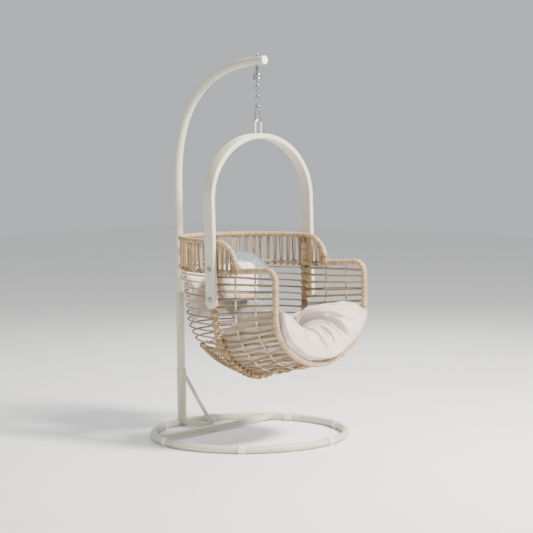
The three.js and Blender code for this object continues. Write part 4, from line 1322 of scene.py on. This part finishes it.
# ------------------------------------------------------------------ studio
def make_floor():
    mesh = bpy.data.meshes.new("floor")
    size = 14
    mesh.from_pydata([(-size, -size, -0.0006), (size, -size, -0.0006), (size, size, -0.0006),
                      (-size, size, -0.0006)], [], [(0, 1, 2, 3)])
    floor = bpy.data.objects.new("floor", mesh)
    bpy.context.scene.collection.objects.link(floor)
    shader = Shader("floor_pale")
    shader.link(shader.ramp(shader.noise(shader.place(), 3.0), [(0.3, (0.88, 0.88, 0.87)),
                                                              (0.7, (0.91, 0.91, 0.90))]), "Base Color")
    mesh.materials.append(shader.set(roughness=0.8).material)


CAMERA = {"azimuth": math.radians(-48.181), "elevation": math.radians(4.593), "distance": 8.509,
          "aim": 0.0925, "height": 0.855, "roll": math.radians(0.57), "lens": 114.82}


def camera_axes():
    a, e = CAMERA["azimuth"], CAMERA["elevation"]
    back = np.array([math.sin(a) * math.cos(e), -math.cos(a) * math.cos(e), math.sin(e)])
    right = np.array([math.cos(a), math.sin(a), 0])
    return right, np.cross(back, right), back


def make_camera():
    right, up, back = camera_axes()
    place = at_ring(0, 0, CAMERA["height"]) + CAMERA["aim"] * right + CAMERA["distance"] * back
    c, s = math.cos(CAMERA["roll"]), math.sin(CAMERA["roll"])
    data = bpy.data.cameras.new("camera")
    data.lens = CAMERA["lens"]
    data.sensor_width = 36
    data.dof.use_dof = False
    camera = bpy.data.objects.new("camera", data)
    columns = [right * c - up * s, up * c + right * s, back]
    rows = [[columns[k][i] for k in range(3)] + [place[i]] for i in range(3)]
    camera.matrix_world = Matrix(rows + [[0, 0, 0, 1]])
    bpy.context.scene.collection.objects.link(camera)
    bpy.context.scene.camera = camera


def area_light(name, place, size, energy, color):
    data = bpy.data.lights.new(name, "AREA")
    data.size = size
    data.energy = energy
    data.color = color
    light = bpy.data.objects.new(name, data)
    light.location = place
    aim = Vector(at_ring(0, 0, 0.85)) - Vector(place)
    light.rotation_mode = "QUATERNION"
    light.rotation_quaternion = aim.to_track_quat("-Z", "Y")
    bpy.context.scene.collection.objects.link(light)


def make_lights():
    right, up, back = camera_axes()
    centre = at_ring(0, 0, 0.85)
    area_light("key", centre + 3.2 * right + 2.0 * back + 3.0 * up, 0.8, 800, (1.0, 0.95, 0.86))
    area_light("fill", centre - 3.6 * right + 2.6 * back + 1.6 * up, 3.0, 40, (0.92, 0.96, 1.0))
    area_light("rim", centre + 0.6 * right - 3.4 * back + 3.0 * up, 2.4, 120, (1.0, 1.0, 1.0))
    world = bpy.data.worlds.new("studio")
    world.use_nodes = True
    world.node_tree.nodes["Background"].inputs["Color"].default_value = (0.93, 0.95, 0.98, 1)
    world.node_tree.nodes["Background"].inputs["Strength"].default_value = 0.62
    bpy.context.scene.world = world


make_camera()
make_floor()
make_lights()
make_ring()
make_cross_tubes()
make_post()
make_clips()
make_eye_bolt()
make_swivel()
make_stem_eye()
make_chain()
make_hook()
make_hoop()
make_hoop_loop()
make_side_bolts()
make_rails()
make_stakes()
make_seat_weave()
make_back_weave()
make_band()
make_joint_knots()
make_seat_cushion()
make_back_pad()
make_round_cushion()
make_small_pillow()
